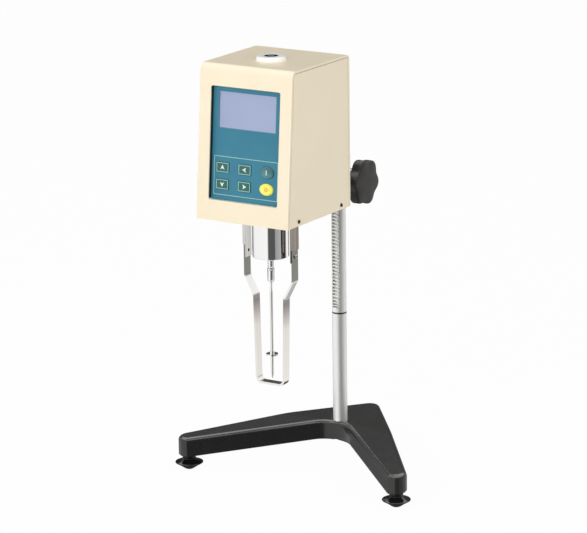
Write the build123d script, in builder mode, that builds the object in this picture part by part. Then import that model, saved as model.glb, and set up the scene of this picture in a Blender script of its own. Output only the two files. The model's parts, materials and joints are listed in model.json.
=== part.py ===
from build123d import *
import os
from math import acos, asin, atan2, ceil, cos, floor, hypot, pi, radians, sin, sqrt, tan

# Rotational viscometer on a rack stand.  Millimetres, +Z up, the operator stands on the -Y side.
# The origin lies on the table, at the centre of the instrument's footprint box.
os.makedirs("parts", exist_ok=True)

# ---------------------------------------------------------------- clearances
fit_gap = 0.05          # radial gap of screwed and pressed fits
running_gap = 0.05      # radial gap of a shaft in its bearing
moving_gap = 0.3        # between faces that move past each other
seam_gap = 0.5          # visible seam between the head's covers
overrun = 1.0           # cutters run this far past the faces they open
facing = 0.9            # least cosine of a face or edge that counts as pointing one way

# ---------------------------------------------------------------- base casting
hub_top = 45.6          # height of the flat hub top above the table
base_thickness = 20.0
arm_slope = 5.8         # degrees that the arms fall towards their tips
slope_start = 6.0       # distance in front of the column where the arms start to fall
slope_blend = 160.0     # radius of the blend between hub and arms
foot_spread = 125.0     # front feet, each side of the centre line
foot_forward = 98.8     # front feet, in front of the column
tip_radius = 10.8
apex_radius = 11.0
apex_reach = 71.0       # rear end of the base, behind the column
crotch_forward = -4.0   # corner of the inner edges, in front of the column
crotch_radius = 33.0
base_edge_radius = 4.5
base_foot_edge = 1.0
rear_foot_reach = 50.0

# ---------------------------------------------------------------- levelling feet
foot_rim_radius = 14.7
foot_neck_radius = 7.4
foot_neck_height = 4.0
foot_tip_radius = 4.2
foot_knob_height = 15.0
foot_rim_height = 7.5
foot_rim_land = 1.6
foot_stud_radius = 4.0
foot_stud_engagement = 13.0

# ---------------------------------------------------------------- column
column_radius = 7.5
pole_height = 116.2     # plain pole above the hub
stop_ring_height = 1.6
column_top = 415.0
column_screw_radius = 4.0
column_screw_head_radius = 6.5
column_screw_head_height = 8.0
column_screw_socket = 3.4
column_screw_grip = 20.0
column_washer_radius = 8.0
column_washer_height = 1.6
spigot_radius = 4.5
spigot_length = 18.0
cap_height = 3.0
cap_peg_radius = 3.0
cap_peg_length = 8.0

# ---------------------------------------------------------------- rack and pinion
rack_pitch = 3.6
pressure_angle = 20.0
rack_tip_depth = 6.4    # flat of the rack's tooth tips, from the column axis
rack_runout = 5.0       # plain rod between the stop ring and the first tooth
rack_top_margin = 8.0
pinion_teeth = 17
pinion_width = 8.0
mesh_backlash = 0.16
pinion_shaft_radius = 4.0
pinion_rise = 13.2      # pinion axis above the underside of the head

# ---------------------------------------------------------------- lift clamp
clamp_sleeve_radius = 12.5
clamp_shoulder_half = 10.0  # half width where the block's slopes meet the sleeve
clamp_block_half = 16.0
clamp_block_front = 46.0
clamp_height = 46.0
handle_cover = 6.0      # wall of the clamp above the handle rod
clamp_boss_radius = 12.4
clamp_boss_half = 27.5
clamp_edge = 2.0
handle_radius = 6.0
handle_rise = 23.7      # handle axis above the pinion axis
handle_depth = 26.0
lock_screw_radius = 3.0
lock_screw_setback = 12.0
lock_knob_radius = 9.0
lock_knob_length = 11.0
lock_knob_edge = 1.0
lock_knob_scallops = 10
grip_scallop = 1.6
knob_radius = 24.5
knob_thickness = 11.0
knob_face = 44.6        # outer face of the star knob, from the column's centre plane
knob_lobes = 6
knob_turn = -11.0       # degrees that the first lobe stands above the horizontal, to the rear
knob_valley = 21.3
knob_scallop = 26.0
knob_lobe_round = 2.5
knob_dome = 1.6
knob_hub_radius = 10.0
knob_edge = 2.2
knob_cover = 3.0        # wall of the knob in front of the end of its shaft
tension_nut_radius = 9.0
tension_nut_length = 8.0
tension_nut_scallops = 12

# ---------------------------------------------------------------- measuring head covers
head_rise = 249.6       # underside of the head above the hub, at rest
head_width = 106.5
head_height = 154.8
head_rear = 64.4        # rear face, in front of the column
head_top_depth = 106.4
head_bottom_depth = 118.9
front_bend_radius = 8.0
rear_bend_radius = 5.5
cover_wall = 2.5
side_wall = 2.5
plate_wall = 3.0
flange_height = 9.0
cover_screw_radius = 1.5
cover_screw_head = 2.3
cover_screw_head_height = 1.2
cover_screw_head_edge = 0.5
cover_screw_rise = 4.6
cover_screw_setbacks = (18.0, 98.3)  # in front of the head's rear face

# ---------------------------------------------------------------- front panel
window_width = 80.4
window_low = 20.8       # lower edge of the window, up the front face
window_top_gap = 20.6   # above the window
window_corner = 2.0
window_lip = 1.6
recess_depth = 4.8
membrane_wall = 1.2
panel_margin = 3.0
display_width = 66.0
display_height = 36.0
display_top_gap = 23.4  # middle of the display below the window's upper edge
display_module_depth = 6.0
display_bezel = 4.0
key_width = 14.6
key_height = 10.2
oval_width = 16.0
oval_height = 11.8
key_columns = (-26.9, -1.2, 24.6)
key_rows = (53.4, 36.6)
key_proud = 0.7
key_travel = 0.5
key_flange = 1.0
key_flange_wall = 0.8
key_corner = 0.8
board_wall = 1.6
standoff_radius = 2.5

# ---------------------------------------------------------------- measuring system
spindle_reach = 131.0   # spindle axis in front of the column
boss_radius = 18.4
boss_drop = 43.6        # boss below the head
boss_wall = 4.0
boss_floor = 5.0
boss_spigot_radius = 16.0
boss_spigot_rise = 5.0
boss_edge = 0.8
pivot_radius = 2.0
bearing_radius = 4.0
bearing_height = 4.0
coupling_drop = 46.2    # top of the coupling nut below the head
coupling_upper_radius = 3.3
coupling_lower_radius = 3.7
coupling_upper_length = 9.9
coupling_lower_length = 13.5
coupling_groove = 0.5
spindle_rod_radius = 1.5
spindle_tip_drop = 170.8
disc_radius = 6.1
disc_thickness = 1.7
disc_drop = 145.6       # middle of the disc below the head

# ---------------------------------------------------------------- spindle guard
guard_half_top = 29.2
guard_half_shoulder = 18.9
guard_half_bottom = 16.9
guard_thickness = 2.2
guard_width = 9.2
guard_top_drop = 34.0
guard_bend_drop = 65.9
guard_shoulder_drop = 85.3
guard_bottom_drop = 176.6
guard_bend_radius = 5.0
guard_corner_radius = 6.0
bracket_width = 11.0
bracket_thickness = 3.6
bracket_lap = 13.0
bracket_foot = 12.0
bracket_foot_wall = 3.0
guard_screw_radius = 1.5
guard_screw_head = 2.6
guard_screw_head_height = 1.8

# ---------------------------------------------------------------- drive train in the head
deck_rise = 44.0        # lower deck above the bottom plate
deck_wall = 3.0
deck_front_gap = 25.3   # behind the lower edge of the head's front
deck_rear_gap = 20.6    # in front of the head's rear face
deck_gap = 12.0         # between the lower deck and the motor plate
post_radius = 3.0
post_inset = 6.0
gear_module = 0.6
drive_teeth = 48
motor_teeth = 16
gear_width = 4.0
gear_backlash = 0.12
drive_shaft_radius = 3.0
motor_radius = 18.0
motor_height = 26.0
motor_shaft_radius = 2.0
encoder_radius = 22.0
encoder_wall = 1.0
encoder_slots = 24
encoder_slot_width = 1.6
encoder_slot_depth = 4.0
lower_encoder_rise = 14.0
encoder_spacing = 10.0
hub_radius = 5.0
hub_height = 4.0
spring_turns = 4
spring_inner = 5.6
spring_pitch = 2.4
spring_wall = 0.5
spring_height = 2.0
sensor_width = 8.0
sensor_reach = 6.0
sensor_gap = 0.8
sensor_jaw = 3.0

# ---------------------------------------------------------------- rear panel, level and electronics
level_setback = 6.0     # centre of the level behind the spindle's axis
level_ring_radius = 14.9
level_ring_height = 4.2
level_vial_radius = 7.4
level_vial_height = 3.4
jack_offset = 44.0
jack_rise = 67.5
jack_radius = 4.4
jack_bore = 2.8
jack_proud = 7.5
jack_nut_radius = 6.4
jack_nut_height = 2.5
jack_inside = 9.0
port_rise = 96.0
port_width = 31.0
port_height = 12.5
port_proud = 5.0
plug_width = 15.5
plug_height = 8.0
plug_corner = 80.0      # degrees
switch_width = 19.0
switch_height = 13.0
switch_offset = -34.0
switch_tilt = 8.0
switch_rim = 2.5
switch_pivot_depth = 0.5
rocker_proud = 3.4
rocker_dish = 1.2
rocker_pin_radius = 1.0
rocker_pin_length = 1.2
main_board_width = 62.0
main_board_low = 84.0   # lower edge above the head's underside
main_board_top_gap = 14.8  # upper edge below the head's top
main_board_gap = 7.5
rod_flange_radius = 13.0
rod_flange_wall = 4.0
rod_nut_height = 5.0
rod_nut_radius = 10.5

# ---------------------------------------------------------------- derived places
head_front_reach = head_rear + head_bottom_depth
column_y = (head_front_reach - apex_reach) / 2
head_bottom = hub_top + head_rise
head_top = head_bottom + head_height
rear_y = column_y - head_rear
front_low_y = rear_y - head_bottom_depth
front_high_y = rear_y - head_top_depth
spindle_y = column_y - spindle_reach
window_high = head_height - window_top_gap
display_rise = window_high - display_top_gap
main_board_height = head_height - main_board_top_gap - main_board_low
main_board_rise = main_board_low + main_board_height / 2
plate_top = head_bottom + plate_wall
inner_half = head_width / 2 - side_wall
face_tilt = atan2(front_high_y - front_low_y, head_height)
pinion_z = head_bottom + pinion_rise
handle_z = pinion_z + handle_rise
pole_top = hub_top + pole_height
rack_floor = pole_top + stop_ring_height

# The front face leans back: local x runs to the right, local y up the face, z out of it.
front_plane = Plane(
    origin=(0, front_low_y, head_bottom), x_dir=(1, 0, 0), z_dir=(0, -cos(face_tilt), sin(face_tilt))
)
# Looking from the right-hand side: local x runs to the rear, local y up, z to the right.
side_plane = Plane(origin=(0, 0, 0), x_dir=(0, 1, 0), z_dir=(1, 0, 0))
# Looking at the rear face: local x runs to the left, local y up, z to the rear.
rear_plane = Plane(origin=(0, rear_y, head_bottom), x_dir=(-1, 0, 0), z_dir=(0, 1, 0))


def write(piece, label):
    """Label a finished piece and write it as one STEP file."""
    piece.part.label = label
    export_step(piece.part, f"parts/{label}.step")


def rim_edges(faces):
    """Outer edges of a patch of faces: those that belong to only one of them."""
    edges = ShapeList(edge for face in faces for edge in face.edges())
    return ShapeList(edge for edge in edges if sum(edge.is_same(other) for other in edges) == 1)


# ================================================================ stand
def front_foot_places():
    return [(side * foot_spread, column_y - foot_forward) for side in (-1, 1)]


rear_foot_place = (0, column_y + rear_foot_reach)


def arm_fall(y):
    """Drop of the base's surface at the distance y, as the arms slope down in front of the hub."""
    return max(0, column_y - slope_start - y) * tan(radians(arm_slope))


# The plan: a rounded triangle over apex and tips, less the wedge between the arms.
crotch_y = column_y - crotch_forward
tip_y = column_y - foot_forward
crotch_run = hypot(foot_spread, crotch_y - tip_y)
crotch_angle = atan2(crotch_y - tip_y, foot_spread) + asin(tip_radius / crotch_run)
wedge_reach = crotch_run + 4 * tip_radius

with BuildPart() as base_casting:
    with BuildSketch(Plane.XY):
        with Locations((0, column_y + apex_reach - apex_radius)):
            Circle(apex_radius)
        with Locations(*front_foot_places()):
            Circle(tip_radius)
        make_hull()
        with BuildLine():
            corner = (0, crotch_y)
            right = (wedge_reach * cos(crotch_angle), crotch_y - wedge_reach * sin(crotch_angle))
            left = (-right[0], right[1])
            FilletPolyline(left, corner, right, radius=crotch_radius)
            Line(right, left)
        make_face(mode=Mode.SUBTRACT)
    extrude(amount=hub_top)
    with BuildSketch(side_plane):
        with BuildLine():
            back = column_y + apex_reach + tip_radius
            front = column_y - foot_forward - 2 * tip_radius
            bend = column_y - slope_start
            base_low = hub_top - base_thickness
            top_line = FilletPolyline(
                (back, hub_top), (bend, hub_top), (front, hub_top - arm_fall(front)), radius=slope_blend
            )
            low_line = FilletPolyline(
                (back, base_low), (bend, base_low), (front, base_low - arm_fall(front)), radius=slope_blend
            )
            Line(top_line @ 0, low_line @ 0)
            Line(top_line @ 1, low_line @ 1)
        make_face()
    extrude(amount=foot_spread + 2 * tip_radius, both=True, mode=Mode.INTERSECT)
    fillet(rim_edges(base_casting.faces().filter_by(lambda f: f.normal_at().Z > facing)), base_edge_radius)
    chamfer(rim_edges(base_casting.faces().filter_by(lambda f: f.normal_at().Z < -facing)), base_foot_edge)
    # Seat of the column's screw and washer, from below
    screw_seat = hub_top - base_thickness + column_screw_head_height + column_washer_height + overrun
    with BuildSketch(Plane.XY):
        with Locations((0, column_y)):
            Circle(column_washer_radius + moving_gap)
    extrude(amount=screw_seat, mode=Mode.SUBTRACT)
    with BuildSketch(Plane.XY):
        with Locations((0, column_y)):
            Circle(column_screw_radius + fit_gap)
    extrude(amount=hub_top + overrun, mode=Mode.SUBTRACT)
    # Tapped holes of the levelling feet
    for foot_x, foot_y in [*front_foot_places(), rear_foot_place]:
        hole_top = hub_top - base_thickness - arm_fall(foot_y) + foot_stud_engagement + moving_gap
        with BuildSketch(Plane.XY):
            with Locations((foot_x, foot_y)):
                Circle(foot_stud_radius + running_gap)
        extrude(amount=hole_top, mode=Mode.SUBTRACT)
write(base_casting, "base_casting")

foot_names = ("front_left", "front_right", "rear")
for foot_name, (foot_x, foot_y) in zip(foot_names, [*front_foot_places(), rear_foot_place]):
    foot_plane = Plane(origin=(foot_x, foot_y, 0), x_dir=(1, 0, 0), z_dir=(0, -1, 0))
    foot_axis = Axis((foot_x, foot_y, 0), (0, 0, 1))
    stud_top = hub_top - base_thickness - arm_fall(foot_y) + foot_stud_engagement
    with BuildPart() as levelling_foot:
        with BuildSketch(foot_plane):
            with BuildLine():
                rim_low = foot_rim_height - foot_rim_land / 2
                rim_high = foot_rim_height + foot_rim_land / 2
                Polyline(
                    (0, 0), (foot_tip_radius, 0), (foot_rim_radius, rim_low), (foot_rim_radius, rim_high),
                    (foot_neck_radius, foot_knob_height - foot_neck_height),
                    (foot_neck_radius, foot_knob_height), (0, foot_knob_height), close=True,
                )
            make_face()
        revolve(axis=foot_axis)
        fillet(levelling_foot.edges().filter_by(GeomType.CIRCLE).sort_by(Axis.Z)[1:-1], foot_rim_land / 3)
        with BuildSketch(Plane.XY.offset(foot_knob_height)):
            with Locations((foot_x, foot_y)):
                Circle(foot_stud_radius)
        extrude(amount=stud_top - foot_knob_height)
        chamfer(levelling_foot.edges().sort_by(Axis.Z)[-1], foot_stud_radius / 5)
    write(levelling_foot, f"levelling_foot_{foot_name}")

with BuildPart() as lower_pole:
    with BuildSketch(Plane.XY.offset(hub_top)):
        with Locations((0, column_y)):
            Circle(column_radius)
    extrude(amount=pole_height)
    with BuildSketch(Plane.XY.offset(hub_top)):
        with Locations((0, column_y)):
            Circle(column_screw_radius + fit_gap)
    extrude(amount=column_screw_grip + overrun, mode=Mode.SUBTRACT)
    with BuildSketch(Plane.XY.offset(pole_top)):
        with Locations((0, column_y)):
            Circle(spigot_radius + fit_gap)
    extrude(amount=-spigot_length - overrun, mode=Mode.SUBTRACT)
write(lower_pole, "lower_pole")

with BuildPart() as column_washer:
    with BuildSketch(Plane.XY.offset(screw_seat - column_washer_height)):
        with Locations((0, column_y)):
            Circle(column_washer_radius)
            Circle(column_screw_radius + fit_gap, mode=Mode.SUBTRACT)
    extrude(amount=column_washer_height)
write(column_washer, "column_washer")

with BuildPart() as column_screw:
    head_seat = screw_seat - column_washer_height
    with BuildSketch(Plane.XY.offset(head_seat - column_screw_head_height)):
        with Locations((0, column_y)):
            Circle(column_screw_head_radius)
            RegularPolygon(column_screw_socket, 6, mode=Mode.SUBTRACT)
    extrude(amount=column_screw_head_height)
    with BuildSketch(Plane.XY.offset(head_seat - column_screw_head_height / 2)):
        with Locations((0, column_y)):
            Circle(column_screw_radius)
    extrude(amount=hub_top + column_screw_grip - head_seat + column_screw_head_height / 2)
write(column_screw, "column_screw")

with BuildPart() as stop_ring:
    with BuildSketch(Plane.XY.offset(pole_top)):
        with Locations((0, column_y)):
            Circle(column_radius)
            Circle(spigot_radius + fit_gap, mode=Mode.SUBTRACT)
    extrude(amount=stop_ring_height)
write(stop_ring, "stop_ring")

# ================================================================ rack and pinion
rack_module = rack_pitch / pi
pinion_pitch_radius = rack_module * pinion_teeth / 2
pitch_line_depth = rack_tip_depth - rack_module
pinion_y = column_y - pitch_line_depth - pinion_pitch_radius
pinion_tip_radius = pinion_pitch_radius + rack_module


def gear_points(module, teeth, backlash, start_angle):
    """Corner points of an involute spur gear, one tooth centred on start_angle (radians)."""
    pitch = module * teeth / 2
    base = pitch * cos(radians(pressure_angle))
    root = pitch - 1.25 * module
    tip = pitch + module

    def half_angle(radius):
        roll = acos(min(1, base / radius))
        at_pitch = radians(pressure_angle)
        return pi / (2 * teeth) - backlash / (4 * pitch) + tan(at_pitch) - at_pitch - tan(roll) + roll

    radii = [root, max(base, root), pitch, (pitch + tip) / 2, tip]
    points = []
    for tooth in range(teeth):
        middle = start_angle + 2 * pi * tooth / teeth
        flank = [(radius, half_angle(max(radius, base))) for radius in radii]
        if base < root:
            flank = flank[1:]
        turns = [(radius, middle - angle) for radius, angle in flank]
        turns += [(radius, middle + angle) for radius, angle in reversed(flank)]
        points += [(radius * cos(turn), radius * sin(turn)) for radius, turn in turns]
    return points


with BuildPart() as rack_rod:
    with BuildSketch(Plane.XY.offset(rack_floor)):
        with Locations((0, column_y)):
            Circle(column_radius)
    extrude(amount=column_top - cap_height - rack_floor)
    with BuildSketch(Plane.XY.offset(rack_floor)):
        with Locations((0, column_y)):
            Circle(spigot_radius)
    extrude(amount=-stop_ring_height - spigot_length)
    # The flat and the tooth gaps in front of the rod, milled as one zigzag; a gap faces the pinion.
    first_gap = ceil((rack_floor + rack_runout - pinion_z) / rack_pitch)
    last_gap = floor((column_top - rack_top_margin - pinion_z) / rack_pitch)
    slope = tan(radians(pressure_angle))
    tip_half = rack_pitch / 4 + mesh_backlash / 4 + rack_module * slope
    root_half = rack_pitch / 4 + mesh_backlash / 4 - 1.25 * rack_module * slope
    tip_y_face = column_y - rack_tip_depth
    root_y_face = tip_y_face + 2.25 * rack_module
    clear_y = column_y - 2 * column_radius
    with BuildSketch(side_plane):
        with BuildLine():
            corners = [(clear_y, pinion_z + first_gap * rack_pitch - rack_pitch)]
            corners.append((tip_y_face, pinion_z + first_gap * rack_pitch - rack_pitch / 2))
            for gap in range(first_gap, last_gap + 1):
                gap_z = pinion_z + gap * rack_pitch
                corners += [(tip_y_face, gap_z - tip_half), (root_y_face, gap_z - root_half)]
                corners += [(root_y_face, gap_z + root_half), (tip_y_face, gap_z + tip_half)]
            corners.append((tip_y_face, column_top))
            corners.append((clear_y, column_top))
            Polyline(*corners, close=True)
        make_face()
    extrude(amount=2 * column_radius, both=True, mode=Mode.SUBTRACT)
    with BuildSketch(Plane.XY.offset(column_top - cap_height)):
        with Locations((0, column_y)):
            Circle(cap_peg_radius + fit_gap)
    extrude(amount=-cap_peg_length - overrun, mode=Mode.SUBTRACT)
write(rack_rod, "rack_rod")

with BuildPart() as rod_cap:
    with BuildSketch(Plane.XY.offset(column_top - cap_height)):
        with Locations((0, column_y)):
            Circle(column_radius)
    extrude(amount=cap_height)
    fillet(rod_cap.edges().sort_by(Axis.Z)[-1], cap_height / 2)
    with BuildSketch(Plane.XY.offset(column_top - cap_height)):
        with Locations((0, column_y)):
            Circle(cap_peg_radius)
    extrude(amount=-cap_peg_length)
write(rod_cap, "rod_cap")

pinion_plane = Plane(origin=(0, pinion_y, pinion_z), x_dir=(0, 1, 0), z_dir=(1, 0, 0))
knob_back = knob_face - knob_thickness
nut_back = -clamp_boss_half - moving_gap

with BuildPart() as pinion_shaft:
    with BuildSketch(pinion_plane.offset(-pinion_width / 2)):
        with BuildLine():
            Polyline(*gear_points(rack_module, pinion_teeth, mesh_backlash, 0), close=True)
        make_face()
    extrude(amount=pinion_width)
    with BuildSketch(pinion_plane.offset(nut_back - tension_nut_length + overrun)):
        Circle(pinion_shaft_radius)
    extrude(amount=knob_face - knob_cover - nut_back + tension_nut_length - overrun)
write(pinion_shaft, "pinion_shaft")

with BuildPart() as lift_knob:
    with BuildSketch(Plane(origin=(0, pinion_y, pinion_z), x_dir=(1, 0, 0), z_dir=(0, -1, 0))):
        with BuildLine():
            rim_start = (knob_back, 0)
            face_edge = (knob_face - knob_dome, knob_radius)
            Line(rim_start, (knob_back, knob_radius))
            Line((knob_back, knob_radius), face_edge)
            dome = ThreePointArc(face_edge, (knob_face - knob_dome / 4, knob_radius / 2), (knob_face, 0))
            Line(dome @ 1, rim_start)
        make_face()
    revolve(axis=Axis((0, pinion_y, pinion_z), (1, 0, 0)))
    with BuildSketch(pinion_plane.offset(knob_back)):
        with PolarLocations(knob_valley + knob_scallop, knob_lobes, start_angle=knob_turn + 180 / knob_lobes):
            Circle(knob_scallop)
    extrude(amount=2 * knob_thickness, mode=Mode.SUBTRACT)
    fillet(lift_knob.edges().filter_by(Axis.X), knob_lobe_round)
    fillet(lift_knob.faces().sort_by(Axis.X)[-1].edges(), knob_edge)
    with BuildSketch(pinion_plane.offset(knob_back)):
        Circle(knob_hub_radius)
    extrude(amount=clamp_boss_half + moving_gap - knob_back)
    with BuildSketch(pinion_plane):
        Circle(pinion_shaft_radius + fit_gap)
    extrude(amount=knob_face - knob_cover + moving_gap, mode=Mode.SUBTRACT)
write(lift_knob, "lift_knob")

with BuildPart() as tension_nut:
    with BuildSketch(pinion_plane.offset(nut_back)):
        Circle(tension_nut_radius)
        with PolarLocations(tension_nut_radius + grip_scallop / 2, tension_nut_scallops):
            Circle(grip_scallop, mode=Mode.SUBTRACT)
        Circle(pinion_shaft_radius + fit_gap, mode=Mode.SUBTRACT)
    extrude(amount=-tension_nut_length)
write(tension_nut, "tension_nut")

# ================================================================ lift clamp
clamp_low = pinion_z - clamp_height / 2
block_top = handle_z + handle_radius + handle_cover
lock_y = column_y - clamp_block_front + lock_screw_setback

with BuildPart() as lift_clamp:
    with BuildSketch(Plane.XY.offset(clamp_low)):
        with Locations((0, column_y)):
            Circle(clamp_sleeve_radius)
    extrude(amount=clamp_height)
    with BuildSketch(Plane.XY.offset(clamp_low)):
        with BuildLine():
            block_front = column_y - clamp_block_front
            shoulder = sqrt(clamp_sleeve_radius**2 - clamp_shoulder_half**2)
            Polyline(
                (-clamp_block_half, block_front), (clamp_block_half, block_front),
                (clamp_block_half, column_y - clamp_sleeve_radius),
                (clamp_shoulder_half, column_y - shoulder),
                (-clamp_shoulder_half, column_y - shoulder),
                (-clamp_block_half, column_y - clamp_sleeve_radius),
                close=True,
            )
        make_face()
    extrude(amount=block_top - clamp_low)
    fillet(lift_clamp.edges().filter_by(Axis.Z).group_by(Axis.Y)[0], clamp_edge)
    with BuildSketch(pinion_plane.offset(-clamp_boss_half)):
        Circle(clamp_boss_radius)
    extrude(amount=2 * clamp_boss_half)
    with BuildSketch(Plane.XY.offset(clamp_low - overrun)):
        with Locations((0, column_y)):
            Circle(column_radius + running_gap)
    extrude(amount=block_top - clamp_low + 2 * overrun, mode=Mode.SUBTRACT)
    with BuildSketch(pinion_plane.offset(-pinion_width / 2 - moving_gap)):
        Circle(pinion_tip_radius + moving_gap)
    extrude(amount=pinion_width + 2 * moving_gap, mode=Mode.SUBTRACT)
    with BuildSketch(pinion_plane):
        Circle(pinion_shaft_radius + running_gap)
    extrude(amount=clamp_boss_half + overrun, both=True, mode=Mode.SUBTRACT)
    # Socket of the head's handle rod, and the cross hole of its lock screw
    handle_plane = Plane(origin=(0, block_front, handle_z), x_dir=(1, 0, 0), z_dir=(0, -1, 0))
    with BuildSketch(handle_plane):
        Circle(handle_radius + running_gap)
    extrude(amount=-handle_depth - moving_gap, mode=Mode.SUBTRACT)
    lock_plane = Plane(origin=(0, lock_y, handle_z), x_dir=(0, 1, 0), z_dir=(-1, 0, 0))
    with BuildSketch(lock_plane):
        Circle(lock_screw_radius + running_gap)
    extrude(amount=clamp_block_half + overrun, mode=Mode.SUBTRACT)
write(lift_clamp, "lift_clamp")

with BuildPart() as handle_lock_screw:
    with BuildSketch(lock_plane.offset(handle_radius + moving_gap)):
        Circle(lock_screw_radius)
    extrude(amount=clamp_block_half + 2 * overrun - handle_radius)
    with BuildSketch(lock_plane.offset(clamp_block_half + moving_gap)):
        Circle(lock_knob_radius)
    extrude(amount=lock_knob_length)
    fillet(handle_lock_screw.edges().group_by(Axis.X)[0], lock_knob_edge)
    with BuildSketch(lock_plane.offset(clamp_block_half + moving_gap)):
        with PolarLocations(lock_knob_radius + grip_scallop / 2, lock_knob_scallops):
            Circle(grip_scallop)
    extrude(amount=lock_knob_length, mode=Mode.SUBTRACT)
write(handle_lock_screw, "handle_lock_screw")

# ================================================================ head covers
def head_outline(inset, low):
    """Side view of the head: front, top and rear, closed below at the height low."""
    top = head_top - inset
    front_x = (front_high_y - front_low_y) / head_height
    along = inset / cos(face_tilt)

    def front_at(z):
        return front_low_y + (z - head_bottom) * front_x + along

    outline = FilletPolyline(
        (front_at(low), low), (front_at(top), top), (rear_y - inset, top), (rear_y - inset, low),
        radius=(front_bend_radius - inset, rear_bend_radius - inset),
    )
    Line(outline @ 1, outline @ 0)


window_height = window_high - window_low
window_middle = (window_high + window_low) / 2

with BuildPart() as head_wrap:
    with BuildSketch(side_plane):
        with BuildLine():
            head_outline(0, head_bottom)
        make_face()
        with BuildLine():
            head_outline(cover_wall, head_bottom)
        make_face(mode=Mode.SUBTRACT)
    extrude(amount=head_width / 2, both=True)
    with BuildSketch(front_plane):
        with Locations((0, window_middle)):
            RectangleRounded(
                window_width + 2 * window_lip, window_height + 2 * window_lip, window_corner + window_lip
            )
    extrude(amount=-recess_depth)
    with BuildSketch(front_plane.offset(overrun)):
        with Locations((0, window_middle)):
            RectangleRounded(window_width, window_height, window_corner)
    extrude(amount=-recess_depth - 2 * overrun, mode=Mode.SUBTRACT)
    # Rear openings: handle rod, power jack, data port and switch
    with BuildSketch(rear_plane.offset(overrun)):
        with Locations((0, handle_z - head_bottom)):
            Circle(handle_radius + fit_gap)
        with Locations((-jack_offset, jack_rise)):
            Circle(jack_radius + fit_gap)
        with Locations((0, port_rise)):
            Rectangle(port_width + 2 * fit_gap, port_height + 2 * fit_gap)
        with Locations((-switch_offset, jack_rise)):
            Rectangle(switch_width + 2 * fit_gap, switch_height + 2 * fit_gap)
    extrude(amount=-cover_wall - 2 * overrun, mode=Mode.SUBTRACT)
write(head_wrap, "head_wrap")

screw_places = [rear_y - setback for setback in cover_screw_setbacks]
cover_screw_z = head_bottom + cover_screw_rise
flange_front = front_low_y + cover_wall / cos(face_tilt) + flange_height * tan(face_tilt) + seam_gap

screw_points = [(place, cover_screw_z) for place in screw_places]

for side_name, side in (("left", -1), ("right", 1)):
    with BuildPart() as side_panel:
        with BuildSketch(side_plane.offset(side * inner_half)):
            with BuildLine():
                head_outline(cover_wall + seam_gap, head_bottom)
            make_face()
            with Locations(*screw_points):
                Circle(cover_screw_radius + fit_gap, mode=Mode.SUBTRACT)
        extrude(amount=side * (side_wall - fit_gap))
    write(side_panel, f"side_panel_{side_name}")

with BuildPart() as cover_screws:
    for side in (-1, 1):
        with BuildSketch(side_plane.offset(side * head_width / 2)):
            with Locations(*screw_points):
                Circle(cover_screw_head)
        extrude(amount=side * cover_screw_head_height)
        with BuildSketch(side_plane.offset(side * head_width / 2)):
            with Locations(*screw_points):
                Circle(cover_screw_radius)
        extrude(amount=-side * (side_wall + plate_wall))
    outer_rims = cover_screws.edges().group_by(Axis.X)
    fillet(outer_rims[0] + outer_rims[-1], cover_screw_head_edge)
write(cover_screws, "cover_screws")

with BuildPart() as bottom_plate:
    with BuildSketch(Plane.XY.offset(head_bottom)):
        with Locations((0, (flange_front + rear_y - cover_wall - seam_gap) / 2)):
            Rectangle(2 * inner_half, rear_y - cover_wall - seam_gap - flange_front)
    extrude(amount=flange_height)
    with BuildSketch(Plane.XY.offset(plate_top)):
        with Locations((0, (flange_front + rear_y) / 2)):
            Rectangle(2 * (inner_half - plate_wall), 2 * (rear_y - flange_front))
    extrude(amount=flange_height, mode=Mode.SUBTRACT)
    with BuildSketch(Plane.XY.offset(head_bottom)):
        with Locations((0, spindle_y)):
            Circle(boss_spigot_radius + fit_gap)
    extrude(amount=plate_wall, mode=Mode.SUBTRACT)
    with BuildSketch(side_plane.offset(-head_width / 2)):
        with Locations(*screw_points):
            Circle(cover_screw_radius + fit_gap)
    extrude(amount=head_width, mode=Mode.SUBTRACT)
write(bottom_plate, "bottom_plate")

# ================================================================ front panel
panel_width = window_width + 2 * panel_margin
panel_height = window_height + 2 * panel_margin
panel_back = recess_depth + membrane_wall
flange_back = panel_back + key_flange_wall
board_front = flange_back + key_travel + moving_gap
key_places = {
    "up": (key_columns[0], key_rows[0]),
    "left": (key_columns[1], key_rows[0]),
    "run": (key_columns[2], key_rows[0]),
    "down": (key_columns[0], key_rows[1]),
    "right": (key_columns[1], key_rows[1]),
    "reset": (key_columns[2], key_rows[1]),
}


def key_shape(key_name, growth):
    """Outline of one key, grown all round: rounded oblongs for the arrows, ovals for the others."""
    if key_name in ("run", "reset"):
        Ellipse(oval_width / 2 + growth, oval_height / 2 + growth)
    else:
        RectangleRounded(key_width + 2 * growth, key_height + 2 * growth, key_corner + max(0, growth))


with BuildPart() as membrane_panel:
    with BuildSketch(front_plane.offset(-recess_depth)):
        with Locations((0, window_middle)):
            RectangleRounded(panel_width, panel_height, window_corner)
        with Locations((0, display_rise)):
            RectangleRounded(display_width, display_height, key_corner, mode=Mode.SUBTRACT)
    extrude(amount=-membrane_wall)
    for key_name, key_place in key_places.items():
        with BuildSketch(front_plane.offset(-recess_depth)):
            with Locations(key_place):
                key_shape(key_name, moving_gap)
        extrude(amount=-membrane_wall, mode=Mode.SUBTRACT)
write(membrane_panel, "membrane_panel")

for key_name, key_place in key_places.items():
    with BuildPart() as key:
        with BuildSketch(front_plane.offset(-panel_back)):
            with Locations(key_place):
                key_shape(key_name, 0)
        extrude(amount=membrane_wall + key_proud)
        fillet(key.faces().sort_by(Axis(front_plane.origin, front_plane.z_dir))[-1].edges(), key_proud / 2)
        with BuildSketch(front_plane.offset(-panel_back)):
            with Locations(key_place):
                key_shape(key_name, key_flange)
        extrude(amount=-key_flange_wall)
    write(key, f"key_{key_name}")

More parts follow.
